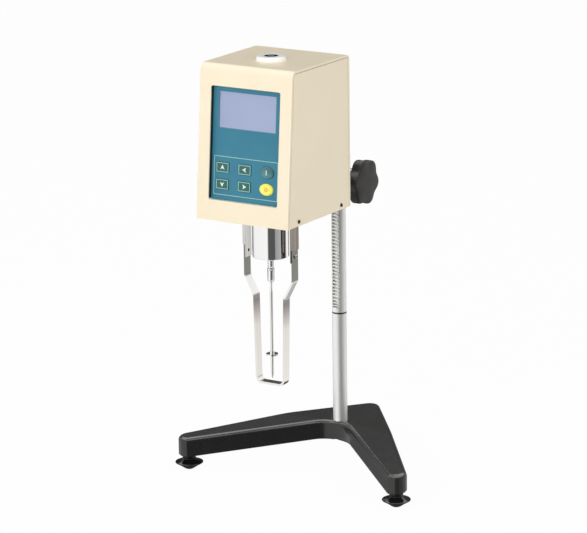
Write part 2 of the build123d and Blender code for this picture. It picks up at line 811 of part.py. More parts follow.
with BuildPart() as display_lens:
    with BuildSketch(front_plane.offset(-panel_back)):
        with Locations((0, display_rise)):
            RectangleRounded(display_width - 2 * fit_gap, display_height - 2 * fit_gap, key_corner)
    extrude(amount=membrane_wall - fit_gap)
write(display_lens, "display_lens")

with BuildPart() as display_module:
    with BuildSketch(front_plane.offset(-panel_back - fit_gap)):
        with Locations((0, display_rise)):
            Rectangle(display_width + 2 * display_bezel, display_height + 2 * display_bezel)
    extrude(amount=-display_module_depth)
    corners = display_module.edges().filter_by(lambda e: abs(e.tangent_at(0).dot(front_plane.z_dir)) > facing)
    chamfer(corners, key_corner)
write(display_module, "display_module")

# The circuit board behind the panel has a cut-out for the display and stands on four pillars.
cutout_low = display_rise - display_height / 2 - display_bezel - seam_gap
with BuildPart() as keypad_board:
    with BuildSketch(front_plane.offset(-board_front)):
        with Locations((0, window_middle)):
            Rectangle(panel_width, panel_height)
        with Locations((0, display_rise)):
            Rectangle(
                display_width + 2 * (display_bezel + seam_gap), 2 * (display_rise - cutout_low),
                mode=Mode.SUBTRACT,
            )
    extrude(amount=-board_wall)
write(keypad_board, "keypad_board")

with BuildPart() as board_pillars:
    with BuildSketch(front_plane.offset(-panel_back)):
        with Locations((0, window_middle)):
            with GridLocations(
                panel_width - 2 * standoff_radius, panel_height - 2 * standoff_radius, 2, 2
            ):
                Circle(standoff_radius)
    extrude(amount=-board_front + panel_back)
    with BuildSketch(rear_plane.offset(-cover_wall)):
        with Locations((0, main_board_rise)):
            with GridLocations(
                main_board_width - 3 * standoff_radius, main_board_height - 3 * standoff_radius, 2, 2
            ):
                Circle(standoff_radius)
    extrude(amount=-main_board_gap)
write(board_pillars, "board_pillars")

with BuildPart() as main_board:
    with BuildSketch(rear_plane.offset(-cover_wall - main_board_gap)):
        with Locations((0, main_board_rise)):
            Rectangle(main_board_width, main_board_height)
    extrude(amount=-board_wall)
write(main_board, "main_board")

# ================================================================ measuring system
boss_low = head_bottom - boss_drop
boss_bore = boss_spigot_radius - boss_wall / 2
spindle_axis = Axis((0, spindle_y, 0), (0, 0, 1))
# Upright through the spindle's axis: local x runs to the right, local y is the height.
guard_plane = Plane(origin=(0, spindle_y, 0), x_dir=(1, 0, 0), z_dir=(0, -1, 0))


def disc_at(z, radius, setback=0):
    """A horizontal disc at the height z, on the spindle's axis or behind it."""
    with BuildSketch(Plane.XY.offset(z)) as sketch:
        with Locations((0, spindle_y + setback)):
            Circle(radius)
    return sketch.sketch


with BuildPart() as boss:
    extrude(disc_at(boss_low, boss_radius), amount=boss_drop)
    fillet(boss.edges().sort_by(Axis.Z)[0], boss_edge)
    extrude(disc_at(head_bottom, boss_spigot_radius), amount=plate_wall + boss_spigot_rise)
    extrude(disc_at(boss_low + boss_floor, boss_bore), amount=2 * boss_drop, mode=Mode.SUBTRACT)
    extrude(disc_at(boss_low, bearing_radius + fit_gap), amount=boss_drop, mode=Mode.SUBTRACT)
write(boss, "boss")

with BuildPart() as boss_cap_nut:
    cap_radius = boss_spigot_radius + boss_wall
    extrude(disc_at(plate_top, cap_radius), amount=boss_spigot_rise + plate_wall)
    chamfer(boss_cap_nut.edges().sort_by(Axis.Z)[-1], boss_edge)
    spigot_hole = disc_at(plate_top, boss_spigot_radius + fit_gap)
    extrude(spigot_hole, amount=boss_spigot_rise, mode=Mode.SUBTRACT)
    extrude(disc_at(plate_top, bearing_radius + fit_gap), amount=boss_drop, mode=Mode.SUBTRACT)
    with BuildSketch(Plane.XY.offset(plate_top)):
        with Locations((0, spindle_y)):
            with PolarLocations(cap_radius, 4):
                Rectangle(boss_wall, boss_wall)
    extrude(amount=boss_spigot_rise + plate_wall, mode=Mode.SUBTRACT)
write(boss_cap_nut, "boss_cap_nut")

bridge_top = plate_top + boss_spigot_rise + plate_wall
with BuildPart() as pivot_bearings:
    for bearing_top in (boss_low + boss_floor, bridge_top):
        extrude(disc_at(bearing_top, bearing_radius), amount=-bearing_height)
        bore = disc_at(bearing_top, pivot_radius + running_gap)
        extrude(bore, amount=-bearing_height, mode=Mode.SUBTRACT)
write(pivot_bearings, "pivot_bearings")

coupling_top = head_bottom - coupling_drop
coupling_step = coupling_top - coupling_upper_length
coupling_low = coupling_step - coupling_lower_length
lower_encoder_z = bridge_top + lower_encoder_rise
upper_encoder_z = lower_encoder_z + encoder_spacing
pivot_top = lower_encoder_z + encoder_wall + hub_height

with BuildPart() as pivot_shaft:
    extrude(disc_at(coupling_step + fit_gap, pivot_radius), amount=pivot_top - coupling_step - fit_gap)
    collet_radius = spring_inner - spring_wall / 2 - moving_gap
    extrude(disc_at(pivot_top - hub_height, collet_radius), amount=hub_height)
    chamfer(pivot_shaft.edges().sort_by(Axis.Z)[0], pivot_radius / 5)
write(pivot_shaft, "pivot_shaft")

with BuildPart() as coupling_nut:
    with BuildSketch(guard_plane):
        with BuildLine():
            upper_waist = coupling_upper_radius - coupling_groove
            lower_waist = coupling_lower_radius - coupling_groove
            Polyline(
                (0, coupling_low), (lower_waist, coupling_low),
                (coupling_lower_radius, coupling_low + coupling_groove),
                (coupling_lower_radius, coupling_step - coupling_groove),
                (lower_waist, coupling_step), (upper_waist, coupling_step),
                (coupling_upper_radius, coupling_step + coupling_groove),
                (coupling_upper_radius, coupling_top - coupling_groove),
                (upper_waist, coupling_top), (0, coupling_top),
                close=True,
            )
        make_face()
    revolve(axis=spindle_axis)
    extrude(disc_at(coupling_step, pivot_radius + fit_gap), amount=coupling_drop, mode=Mode.SUBTRACT)
    extrude(disc_at(coupling_step, spindle_rod_radius + fit_gap), amount=-coupling_drop, mode=Mode.SUBTRACT)
write(coupling_nut, "coupling_nut")

with BuildPart() as spindle:
    spindle_tip = head_bottom - spindle_tip_drop
    extrude(disc_at(spindle_tip, spindle_rod_radius), amount=coupling_step - fit_gap - spindle_tip)
    chamfer(spindle.edges().sort_by(Axis.Z)[0], spindle_rod_radius / 2)
    extrude(disc_at(head_bottom - disc_drop - disc_thickness / 2, disc_radius), amount=disc_thickness)
write(spindle, "spindle")

# ================================================================ spindle guard
bracket_outer = guard_half_top + seam_gap
bracket_inner = bracket_outer - bracket_thickness
guard_top = head_bottom - guard_top_drop
bracket_low = guard_top - bracket_lap
guard_screw_z = guard_top - bracket_lap / 2
with BuildPart() as guard:
    middle_half = guard_thickness / 2
    with BuildLine(guard_plane):
        half_points = [
            (guard_half_top - middle_half, guard_top),
            (guard_half_top - middle_half, head_bottom - guard_bend_drop),
            (guard_half_shoulder - middle_half, head_bottom - guard_shoulder_drop),
            (guard_half_bottom - middle_half, head_bottom - guard_bottom_drop + middle_half),
        ]
        mirrored = [(-x, z) for x, z in reversed(half_points)]
        bends = [guard_bend_radius, guard_bend_radius, guard_corner_radius]
        guard_path = FilletPolyline(*half_points, *mirrored, radius=bends + bends[::-1])
    with BuildSketch(Plane(origin=guard_path @ 0, x_dir=(1, 0, 0), z_dir=guard_path % 0)):
        Rectangle(guard_thickness, guard_width)
    sweep(path=guard_path)
    with BuildSketch(side_plane.offset(-bracket_outer)):
        with Locations((spindle_y, guard_screw_z)):
            Circle(guard_screw_radius + fit_gap)
    extrude(amount=2 * bracket_outer, mode=Mode.SUBTRACT)
write(guard, "guard")

with BuildPart() as guard_brackets:
    lap_face = guard_half_top - guard_thickness - fit_gap
    foot_outer = bracket_outer + bracket_foot
    for side in (-1, 1):
        with BuildSketch(guard_plane):
            with BuildLine():
                Polyline(
                    (side * bracket_inner, head_bottom), (side * bracket_inner, bracket_low),
                    (side * lap_face, bracket_low), (side * lap_face, guard_top + fit_gap),
                    (side * bracket_outer, guard_top + fit_gap),
                    (side * bracket_outer, head_bottom - bracket_foot_wall),
                    (side * foot_outer, head_bottom - bracket_foot_wall), (side * foot_outer, head_bottom),
                    close=True,
                )
            make_face()
        extrude(amount=bracket_width / 2, both=True)
    with BuildSketch(side_plane.offset(-bracket_outer)):
        with Locations((spindle_y, guard_screw_z)):
            Circle(guard_screw_radius + fit_gap)
    extrude(amount=2 * bracket_outer, mode=Mode.SUBTRACT)
write(guard_brackets, "guard_brackets")

with BuildPart() as guard_screws:
    for side in (-1, 1):
        with BuildSketch(side_plane.offset(side * guard_half_top)):
            with Locations((spindle_y, guard_screw_z)):
                Circle(guard_screw_head)
        extrude(amount=side * guard_screw_head_height)
        with BuildSketch(side_plane.offset(side * guard_half_top)):
            with Locations((spindle_y, guard_screw_z)):
                Circle(guard_screw_radius)
        extrude(amount=side * (bracket_inner - guard_half_top))
write(guard_screws, "guard_screws")

# ================================================================ drive train
deck_low = plate_top + deck_rise
deck_top = deck_low + deck_wall
motor_plate_low = deck_top + deck_gap
motor_plate_top = motor_plate_low + deck_wall
gear_low = deck_top + (deck_gap - gear_width) / 2
motor_y = spindle_y + gear_module * (drive_teeth + motor_teeth) / 2
deck_front_y = front_low_y + deck_front_gap
deck_rear_y = rear_y - deck_rear_gap
deck_middle_y = (deck_front_y + deck_rear_y) / 2
deck_length = deck_rear_y - deck_front_y
post_x = encoder_radius + sensor_reach + seam_gap + post_radius
deck_half_width = post_x + post_inset
post_places = [
    (x, deck_middle_y + y)
    for x in (-post_x, post_x)
    for y in (post_inset - deck_length / 2, deck_length / 2 - post_inset)
]

for deck_name, deck_z in (("gear_deck", deck_low), ("motor_plate", motor_plate_low)):
    with BuildPart() as deck:
        with BuildSketch(Plane.XY.offset(deck_z)):
            with Locations((0, deck_middle_y)):
                RectangleRounded(2 * deck_half_width, deck_length, post_inset)
        extrude(amount=deck_wall)
        with BuildSketch(Plane.XY.offset(deck_z)):
            if deck_name == "gear_deck":
                with Locations((0, spindle_y)):
                    Circle(drive_shaft_radius + running_gap)
            else:
                with Locations((0, spindle_y)):
                    Circle(drive_shaft_radius + moving_gap)
                with Locations((0, motor_y)):
                    Circle(gear_module * (motor_teeth / 2 + 1) + moving_gap)
        extrude(amount=deck_wall, mode=Mode.SUBTRACT)
    write(deck, deck_name)

with BuildPart() as frame_posts:
    for posts_low, posts_length in ((plate_top, deck_rise), (deck_top, deck_gap)):
        with BuildSketch(Plane.XY.offset(posts_low)):
            with Locations(*post_places):
                Circle(post_radius)
        extrude(amount=posts_length)
write(frame_posts, "frame_posts")

with BuildPart() as drive_shaft:
    shaft_length = motor_plate_top - moving_gap - upper_encoder_z
    extrude(disc_at(upper_encoder_z, drive_shaft_radius), amount=shaft_length)
    extrude(disc_at(deck_top + moving_gap, hub_radius), amount=gear_low - deck_top - moving_gap)
write(drive_shaft, "drive_shaft")


def encoder_disc(z, bore, hub_direction):
    """A slotted encoder disc with its hub, on the spindle's axis."""
    with BuildPart() as disc:
        extrude(disc_at(z, encoder_radius), amount=encoder_wall)
        with BuildSketch(Plane.XY.offset(z)):
            with Locations((0, spindle_y)):
                with PolarLocations(encoder_radius - encoder_slot_depth, encoder_slots):
                    Rectangle(encoder_slot_depth, encoder_slot_width)
        extrude(amount=encoder_wall, mode=Mode.SUBTRACT)
        hub_base = z + encoder_wall if hub_direction > 0 else z
        extrude(disc_at(hub_base, hub_radius), amount=hub_direction * hub_height)
        if bore:
            extrude(disc_at(z - hub_height, bore), amount=3 * hub_height, mode=Mode.SUBTRACT)
    return disc


lower_encoder = encoder_disc(lower_encoder_z, pivot_radius + fit_gap, -1)
write(lower_encoder, "lower_encoder_disc")
upper_encoder = encoder_disc(upper_encoder_z, drive_shaft_radius + fit_gap, 1)
write(upper_encoder, "upper_encoder_disc")

spring_low = pivot_top - hub_height + moving_gap
with BuildPart() as hairspring:
    with BuildLine(Plane.XY.offset(spring_low + spring_height / 2)) as spring_line:
        radius = spring_inner
        start = (radius, spindle_y)
        for half_turn in range(2 * spring_turns):
            side = -1 if half_turn % 2 == 0 else 1
            grown = radius + spring_pitch / 2
            end = (start[0] + side * (radius + grown), spindle_y)
            middle = ((start[0] + end[0]) / 2, spindle_y - side * (radius + grown) / 2)
            ThreePointArc(start, middle, end)
            start = end
            radius = grown
    with BuildSketch(Plane(origin=spring_line.line @ 0, x_dir=(1, 0, 0), z_dir=spring_line.line % 0)):
        Rectangle(spring_wall, spring_height)
    sweep(path=spring_line.line)
write(hairspring, "hairspring")

with BuildPart() as drive_gear:
    with BuildSketch(Plane((0, spindle_y, gear_low), x_dir=(1, 0, 0), z_dir=(0, 0, 1))):
        with BuildLine():
            Polyline(*gear_points(gear_module, drive_teeth, gear_backlash, pi / 2), close=True)
        make_face()
        Circle(drive_shaft_radius + fit_gap, mode=Mode.SUBTRACT)
    extrude(amount=gear_width)
write(drive_gear, "drive_gear")

with BuildPart() as motor_pinion:
    gap_angle = pi / motor_teeth - pi / 2
    with BuildSketch(Plane((0, motor_y, gear_low), x_dir=(1, 0, 0), z_dir=(0, 0, 1))):
        with BuildLine():
            Polyline(*gear_points(gear_module, motor_teeth, gear_backlash, gap_angle), close=True)
        make_face()
    extrude(amount=gear_width)
    with BuildSketch(Plane.XY.offset(gear_low)):
        with Locations((0, motor_y)):
            Circle(motor_shaft_radius)
    extrude(amount=motor_plate_top + motor_height / 2 - gear_low)
write(motor_pinion, "motor_pinion")

with BuildPart() as motor:
    with BuildSketch(Plane.XY.offset(motor_plate_top)):
        with Locations((0, motor_y)):
            Circle(motor_radius)
    extrude(amount=motor_height)
    fillet(motor.edges().sort_by(Axis.Z)[-1], deck_wall / 2)
    with BuildSketch(Plane.XY.offset(motor_plate_top)):
        with Locations((0, motor_y)):
            Circle(motor_shaft_radius + running_gap)
    extrude(amount=motor_height / 2 + moving_gap, mode=Mode.SUBTRACT)
write(motor, "motor")

# The light barriers: a post beside the discs with a jaw over each rim.
with BuildPart() as encoder_sensor:
    sensor_inner = encoder_radius - sensor_reach
    sensor_outer = encoder_radius + sensor_reach
    sensor_top = upper_encoder_z + encoder_wall + sensor_gap + sensor_jaw
    with BuildSketch(Plane.XZ.offset(-spindle_y - sensor_width / 2)):
        with BuildLine():
            Polyline(
                (-sensor_outer, plate_top), (-encoder_radius - sensor_gap, plate_top),
                (-encoder_radius - sensor_gap, lower_encoder_z - sensor_gap - sensor_jaw),
                (-sensor_inner, lower_encoder_z - sensor_gap - sensor_jaw),
                (-sensor_inner, lower_encoder_z - sensor_gap),
                (-encoder_radius - sensor_gap, lower_encoder_z - sensor_gap),
                (-encoder_radius - sensor_gap, lower_encoder_z + encoder_wall + sensor_gap),
                (-sensor_inner, lower_encoder_z + encoder_wall + sensor_gap),
                (-sensor_inner, upper_encoder_z - sensor_gap),
                (-encoder_radius - sensor_gap, upper_encoder_z - sensor_gap),
                (-encoder_radius - sensor_gap, upper_encoder_z + encoder_wall + sensor_gap),
                (-sensor_inner, upper_encoder_z + encoder_wall + sensor_gap),
                (-sensor_inner, sensor_top), (-sensor_outer, sensor_top),
                close=True,
            )
        make_face()
    extrude(amount=sensor_width)
write(encoder_sensor, "encoder_sensor")

# ================================================================ handle rod, rear panel and level
with BuildPart() as handle_rod:
    inside_y = rear_y - cover_wall
    with BuildSketch(Plane(origin=(0, rear_y, handle_z), x_dir=(-1, 0, 0), z_dir=(0, 1, 0))):
        Circle(rod_flange_radius)
    extrude(amount=rod_flange_wall)
    fillet(handle_rod.edges().sort_by(Axis.Y)[-1], rod_flange_wall / 4)
    with BuildSketch(Plane(origin=(0, rear_y, handle_z), x_dir=(-1, 0, 0), z_dir=(0, 1, 0))):
        Circle(handle_radius)
    extrude(amount=block_front + handle_depth - rear_y)
    with BuildSketch(Plane(origin=(0, rear_y, handle_z), x_dir=(-1, 0, 0), z_dir=(0, 1, 0))):
        Circle(handle_radius)
    extrude(amount=-cover_wall - rod_nut_height - overrun)
write(handle_rod, "handle_rod")

with BuildPart() as handle_nut:
    with BuildSketch(Plane(origin=(0, inside_y, handle_z), x_dir=(1, 0, 0), z_dir=(0, -1, 0))):
        RegularPolygon(rod_nut_radius, 6)
        Circle(handle_radius + fit_gap, mode=Mode.SUBTRACT)
    extrude(amount=rod_nut_height)
write(handle_nut, "handle_nut")

with BuildPart() as power_jack:
    with BuildSketch(rear_plane.offset(-cover_wall - jack_inside)):
        with Locations((-jack_offset, jack_rise)):
            Circle(jack_radius)
    extrude(amount=cover_wall + jack_inside + jack_proud)
    with BuildSketch(rear_plane):
        with Locations((-jack_offset, jack_rise)):
            RegularPolygon(jack_nut_radius, 6)
    extrude(amount=jack_nut_height)
    with BuildSketch(rear_plane.offset(jack_proud)):
        with Locations((-jack_offset, jack_rise)):
            Circle(jack_bore)
    extrude(amount=-jack_proud - jack_inside / 2, mode=Mode.SUBTRACT)
write(power_jack, "power_jack")

with BuildPart() as data_port:
    with BuildSketch(rear_plane.offset(-cover_wall)):
        with Locations((0, port_rise)):
            RectangleRounded(port_width + 2 * cover_wall, port_height + 2 * cover_wall, key_corner)
    extrude(amount=-cover_wall)
    with BuildSketch(rear_plane.offset(-cover_wall)):
        with Locations((0, port_rise)):
            Trapezoid(plug_width, plug_height, plug_corner)
    extrude(amount=cover_wall + port_proud)
write(data_port, "data_port")

rocker_half = switch_width / 2 - switch_rim - moving_gap
tilt = radians(switch_tilt)
rocker_plane = Plane(
    origin=(switch_offset, rear_y - switch_pivot_depth, head_bottom + jack_rise),
    x_dir=(0, cos(tilt), sin(tilt)), z_dir=(1, 0, 0),
)
with BuildPart() as switch_housing:
    with BuildSketch(rear_plane):
        with Locations((-switch_offset, jack_rise)):
            RectangleRounded(switch_width + 2 * cover_wall, switch_height + 2 * cover_wall, key_corner)
    extrude(amount=cover_wall / 2)
    with BuildSketch(rear_plane):
        with Locations((-switch_offset, jack_rise)):
            Rectangle(switch_width, switch_height)
    extrude(amount=-jack_inside - cover_wall)
    with BuildSketch(rear_plane.offset(cover_wall)):
        with Locations((-switch_offset, jack_rise)):
            Rectangle(2 * rocker_half + 2 * moving_gap, switch_height - switch_rim)
    extrude(amount=-jack_inside, mode=Mode.SUBTRACT)
    with BuildSketch(rocker_plane):
        Circle(rocker_pin_radius + running_gap)
    extrude(amount=rocker_half + rocker_pin_length + moving_gap, both=True, mode=Mode.SUBTRACT)
write(switch_housing, "switch_housing")

with BuildPart() as switch_rocker:
    rocker_tall = (switch_height - switch_rim) / 2 - 2 * moving_gap
    with BuildSketch(rocker_plane):
        with BuildLine():
            Polyline(
                (rocker_proud, rocker_tall), (rocker_proud - rocker_dish, 0), (rocker_proud, -rocker_tall),
                (0, -rocker_tall), (-rocker_proud, -rocker_tall / 2), (-rocker_proud, rocker_tall / 2),
                (0, rocker_tall), close=True,
            )
        make_face()
    extrude(amount=rocker_half, both=True)
    with BuildSketch(rocker_plane):
        Circle(rocker_pin_radius)
    extrude(amount=rocker_half + rocker_pin_length, both=True)
write(switch_rocker, "switch_rocker")

with BuildPart() as level_ring:
    extrude(disc_at(head_top, level_ring_radius, level_setback), amount=level_ring_height)
    fillet(level_ring.edges().sort_by(Axis.Z)[-1], level_ring_height / 2)
    vial_bore = disc_at(head_top, level_vial_radius + fit_gap, level_setback)
    extrude(vial_bore, amount=2 * level_ring_height, mode=Mode.SUBTRACT)
write(level_ring, "level_ring")

with BuildPart() as level_vial:
    extrude(disc_at(head_top, level_vial_radius, level_setback), amount=level_vial_height)
    fillet(level_vial.edges().sort_by(Axis.Z)[-1], level_vial_height / 4)
write(level_vial, "level_vial")
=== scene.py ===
"""Dresses the rotational viscometer: finishes for every part, and the fine pieces around its frame."""
import json
import logging
from dataclasses import dataclass
from enum import Enum
from math import asin, atan2, cos, degrees, pi, radians, sin, tan, tau

import bmesh
import bpy
from mathutils import Matrix, Vector


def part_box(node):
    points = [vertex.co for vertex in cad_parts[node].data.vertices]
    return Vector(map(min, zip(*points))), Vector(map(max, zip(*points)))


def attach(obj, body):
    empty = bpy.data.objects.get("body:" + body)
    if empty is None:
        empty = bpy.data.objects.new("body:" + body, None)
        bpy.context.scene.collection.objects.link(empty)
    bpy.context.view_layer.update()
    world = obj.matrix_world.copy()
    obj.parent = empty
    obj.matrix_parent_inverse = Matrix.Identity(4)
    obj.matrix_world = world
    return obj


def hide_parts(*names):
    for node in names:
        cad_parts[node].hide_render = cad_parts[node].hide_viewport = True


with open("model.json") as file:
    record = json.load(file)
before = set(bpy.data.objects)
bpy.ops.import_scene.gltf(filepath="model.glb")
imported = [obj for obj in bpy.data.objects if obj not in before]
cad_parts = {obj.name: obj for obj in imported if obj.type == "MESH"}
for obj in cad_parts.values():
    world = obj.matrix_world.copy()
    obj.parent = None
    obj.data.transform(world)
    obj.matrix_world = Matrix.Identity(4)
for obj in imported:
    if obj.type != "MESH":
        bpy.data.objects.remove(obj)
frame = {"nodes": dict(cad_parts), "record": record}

LOG = logging.getLogger("viscometer")
MM = 0.001
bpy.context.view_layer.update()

Tree, Socket, Material = bpy.types.NodeTree, bpy.types.NodeSocket, bpy.types.Material
Shape = bmesh.types.BMesh
Triple = tuple[float, float, float]
Rgb = tuple[int, int, int]          # 8-bit red, green and blue
Outline = list[tuple[float, float]]


# ---------------------------------------------------------------- shader node helpers
def add_node(tree: Tree, kind: str, links: dict | None = None,
             **settings) -> bpy.types.Node:
    """Add a shader node, set its properties and fill its inputs.

    Args:
        tree: The node tree that gets the node.
        kind: The node's type name without the ShaderNode prefix.
        links: Input name or index to a value, or to an output socket that is linked in.
        settings: Properties of the node itself.

    Returns:
        The new node.
    """
    node = tree.nodes.new("ShaderNode" + kind)
    for name, value in settings.items():
        setattr(node, name, value)
    return fill_inputs(tree, node, links or {})


def fill_inputs(tree: Tree, node: bpy.types.Node, links: dict) -> bpy.types.Node:
    """Fill the inputs of a node.

    Args:
        tree: The node tree that holds the node.
        node: The node.
        links: Input name or index to a value, or to an output socket that is linked in.

    Returns:
        The same node.
    """
    for key, value in links.items():
        if isinstance(value, Socket):
            tree.links.new(value, node.inputs[key])
        else:
            node.inputs[key].default_value = value
    return node


def maths(tree: Tree, operation: str, *values) -> Socket:
    """Calculate with values or output sockets; returns the result's socket."""
    return add_node(tree, "Math", dict(enumerate(values)), operation=operation).outputs[0]


def noise(tree: Tree, vector: Socket, scale, detail: float,
          roughness: float = 0.5) -> Socket:
    """Cloudy noise of a scale, a detail and a roughness; returns the value's socket."""
    links = {"Vector": vector, "Scale": scale, "Detail": detail, "Roughness": roughness}
    return add_node(tree, "TexNoise", links).outputs["Fac"]


def mix_colours(tree: Tree, factor, first, second, blend: str = "MIX") -> Socket:
    """Mix two colours by a factor; returns the colour's socket."""
    return add_node(tree, "Mix", {"Factor": factor, 6: first, 7: second}, data_type="RGBA",
                    blend_type=blend).outputs[2]


def linear(red: int, green: int, blue: int) -> tuple[float, float, float, float]:
    """Turn an 8-bit screen colour into the linear colour that a shader takes.

    Args:
        red: Red, 0 to 255.
        green: Green, 0 to 255.
        blue: Blue, 0 to 255.

    Returns:
        The linear colour with an alpha of 1.
    """
    def channel(value: int) -> float:
        share = value / 255
        return share / 12.92 if share <= 0.04045 else ((share + 0.055) / 1.055) ** 2.4

    return (channel(red), channel(green), channel(blue), 1.0)


class Effect(Enum):
    """The surface effects that several finishes share, each one a node group."""

    MOTTLE = "painted_skin"
    BRUSH = "drawn_lines"
    DUST = "settled_dust"


class EffectLibrary:
    """Builds each effect's node group once and hands it to the finishes."""

    def __init__(self) -> None:
        """Build the three groups."""
        self.groups = {
            Effect.MOTTLE: self.painted_skin(),
            Effect.BRUSH: self.drawn_lines(),
            Effect.DUST: self.settled_dust(),
        }

    @staticmethod
    def new_group(name: str, inputs: dict[str, object], outputs: dict[str, str]) -> Tree:
        """Open a node group with named sockets.

        Args:
            name: The group's name.
            inputs: Input name to its default: a number, a colour, or None for a vector.
            outputs: Output name to its socket type.

        Returns:
            The group with its input and output nodes in place.
        """
        group = bpy.data.node_groups.new(name, "ShaderNodeTree")
        for label, default in inputs.items():
            kind = "NodeSocketVector" if default is None else (
                "NodeSocketColor" if isinstance(default, tuple) else "NodeSocketFloat")
            socket = group.interface.new_socket(name=label, in_out="INPUT", socket_type=kind)
            if default is not None:
                socket.default_value = default
        for label, kind in outputs.items():
            group.interface.new_socket(name=label, in_out="OUTPUT", socket_type=kind)
        group.nodes.new("NodeGroupInput")
        group.nodes.new("NodeGroupOutput")
        return group

    def painted_skin(self) -> Tree:
        """Soft colour patches and a fine pebbled grain, as sprayed enamel or moulded plastic has.

        Returns:
            The node group.
        """
        group = self.new_group(
            "painted_skin",
            {"Vector": None, "Colour": (1, 1, 1, 1), "Patch Colour": (1, 1, 1, 1), "Patch Scale": 12.0,
             "Grain Scale": 900.0, "Roughness": 0.4, "Roughness Spread": 0.1},
            {"Colour": "NodeSocketColor", "Roughness": "NodeSocketFloat", "Height": "NodeSocketFloat"})
        source = group.nodes["Group Input"].outputs
        patches = noise(group, source["Vector"], source["Patch Scale"], 3.0, 0.55)
        grain = noise(group, source["Vector"], source["Grain Scale"], 2.0)
        spread = add_node(group, "MapRange", {"Value": patches, "From Min": 0.35, "From Max": 0.65})
        tint = mix_colours(group, spread.outputs[0], source["Colour"], source["Patch Colour"])
        centred = maths(group, "SUBTRACT", grain, 0.5)
        gloss = maths(group, "MULTIPLY_ADD", centred, source["Roughness Spread"], source["Roughness"])
        fill_inputs(group, group.nodes["Group Output"],
                    {"Colour": tint, "Roughness": gloss, "Height": grain})
        return group

    def drawn_lines(self) -> Tree:
        """Fine lines along one direction, as brushing, turning or drawing leaves in metal.

        Returns:
            The node group.
        """
        group = self.new_group(
            "drawn_lines",
            {"Vector": None, "Colour": (1, 1, 1, 1), "Line Colour": (1, 1, 1, 1), "Line Scale": 60.0,
             "Roughness": 0.2, "Roughness Spread": 0.1},
            {"Colour": "NodeSocketColor", "Roughness": "NodeSocketFloat", "Height": "NodeSocketFloat"})
        source = group.nodes["Group Input"].outputs
        lines = noise(group, source["Vector"], source["Line Scale"], 4.0, 0.6)
        smudge = noise(group, source["Vector"], 3.0, 1.0)
        tint = mix_colours(group, lines, source["Colour"], source["Line Colour"])
        mixed = maths(group, "MULTIPLY", lines, smudge)
        gloss = maths(group, "MULTIPLY_ADD", mixed, source["Roughness Spread"], source["Roughness"])
        fill_inputs(group, group.nodes["Group Output"],
                    {"Colour": tint, "Roughness": gloss, "Height": lines})
        return group

    def settled_dust(self) -> Tree:
        """A thin, patchy film of dust on faces that look up.

        Returns:
            The node group.
        """
        group = self.new_group(
            "settled_dust",
            {"Vector": None, "Colour": (0, 0, 0, 1), "Dust Colour": (0.5, 0.48, 0.45, 1), "Amount": 0.1,
             "Scale": 30.0},
            {"Colour": "NodeSocketColor", "Mask": "NodeSocketFloat"})
        source = group.nodes["Group Input"].outputs
        facing = add_node(group, "NewGeometry")
        parts = add_node(group, "SeparateXYZ", {0: facing.outputs["Normal"]})
        upward = add_node(group, "MapRange", {"Value": parts.outputs["Z"], "From Min": 0.5,
                                              "From Max": 1.0})
        cloud = noise(group, source["Vector"], source["Scale"], 5.0)
        mask = maths(group, "MULTIPLY", upward.outputs[0], cloud)
        thin = maths(group, "MULTIPLY", mask, source["Amount"])
        tint = mix_colours(group, thin, source["Colour"], source["Dust Colour"])
        fill_inputs(group, group.nodes["Group Output"], {"Colour": tint, "Mask": thin})
        return group

    def place(self, tree: Tree, effect: Effect, links: dict) -> bpy.types.Node:
        """Put an effect into a material.

        Args:
            tree: The material's node tree.
            effect: Which effect.
            links: The values or sockets for its inputs.

        Returns:
            The group node.
        """
        node = tree.nodes.new("ShaderNodeGroup")
        node.node_tree = self.groups[effect]
        return fill_inputs(tree, node, links)


EFFECTS = EffectLibrary()


def open_material(name: str) -> tuple[Material, bpy.types.Node]:
    """Start a node material.

    Args:
        name: The material's name.

    Returns:
        The material and its Principled BSDF node.
    """
    material = bpy.data.materials.new(name)
    material.use_nodes = True
    return material, material.node_tree.nodes["Principled BSDF"]


def object_vector(tree: Tree,
                  stretch: Triple = (1, 1, 1)) -> Socket:
    """Object coordinates, stretched along the axes.

    Args:
        tree: The material's node tree.
        stretch: Scale along X, Y and Z.

    Returns:
        The vector socket.
    """
    place = add_node(tree, "TexCoord")
    return add_node(tree, "Mapping", {"Vector": place.outputs["Object"], "Scale": stretch}).outputs[0]


def fill_ramp(ramp: bpy.types.ColorRamp, stops: list[tuple[float, tuple]]) -> None:
    """Set the stops of a colour ramp.

    Args:
        ramp: The ramp.
        stops: (position, colour) pairs in rising order.
    """
    while len(ramp.elements) < len(stops):
        ramp.elements.new(0.5)
    for element, (position, colour) in zip(ramp.elements, stops):
        element.position = position
        element.color = colour


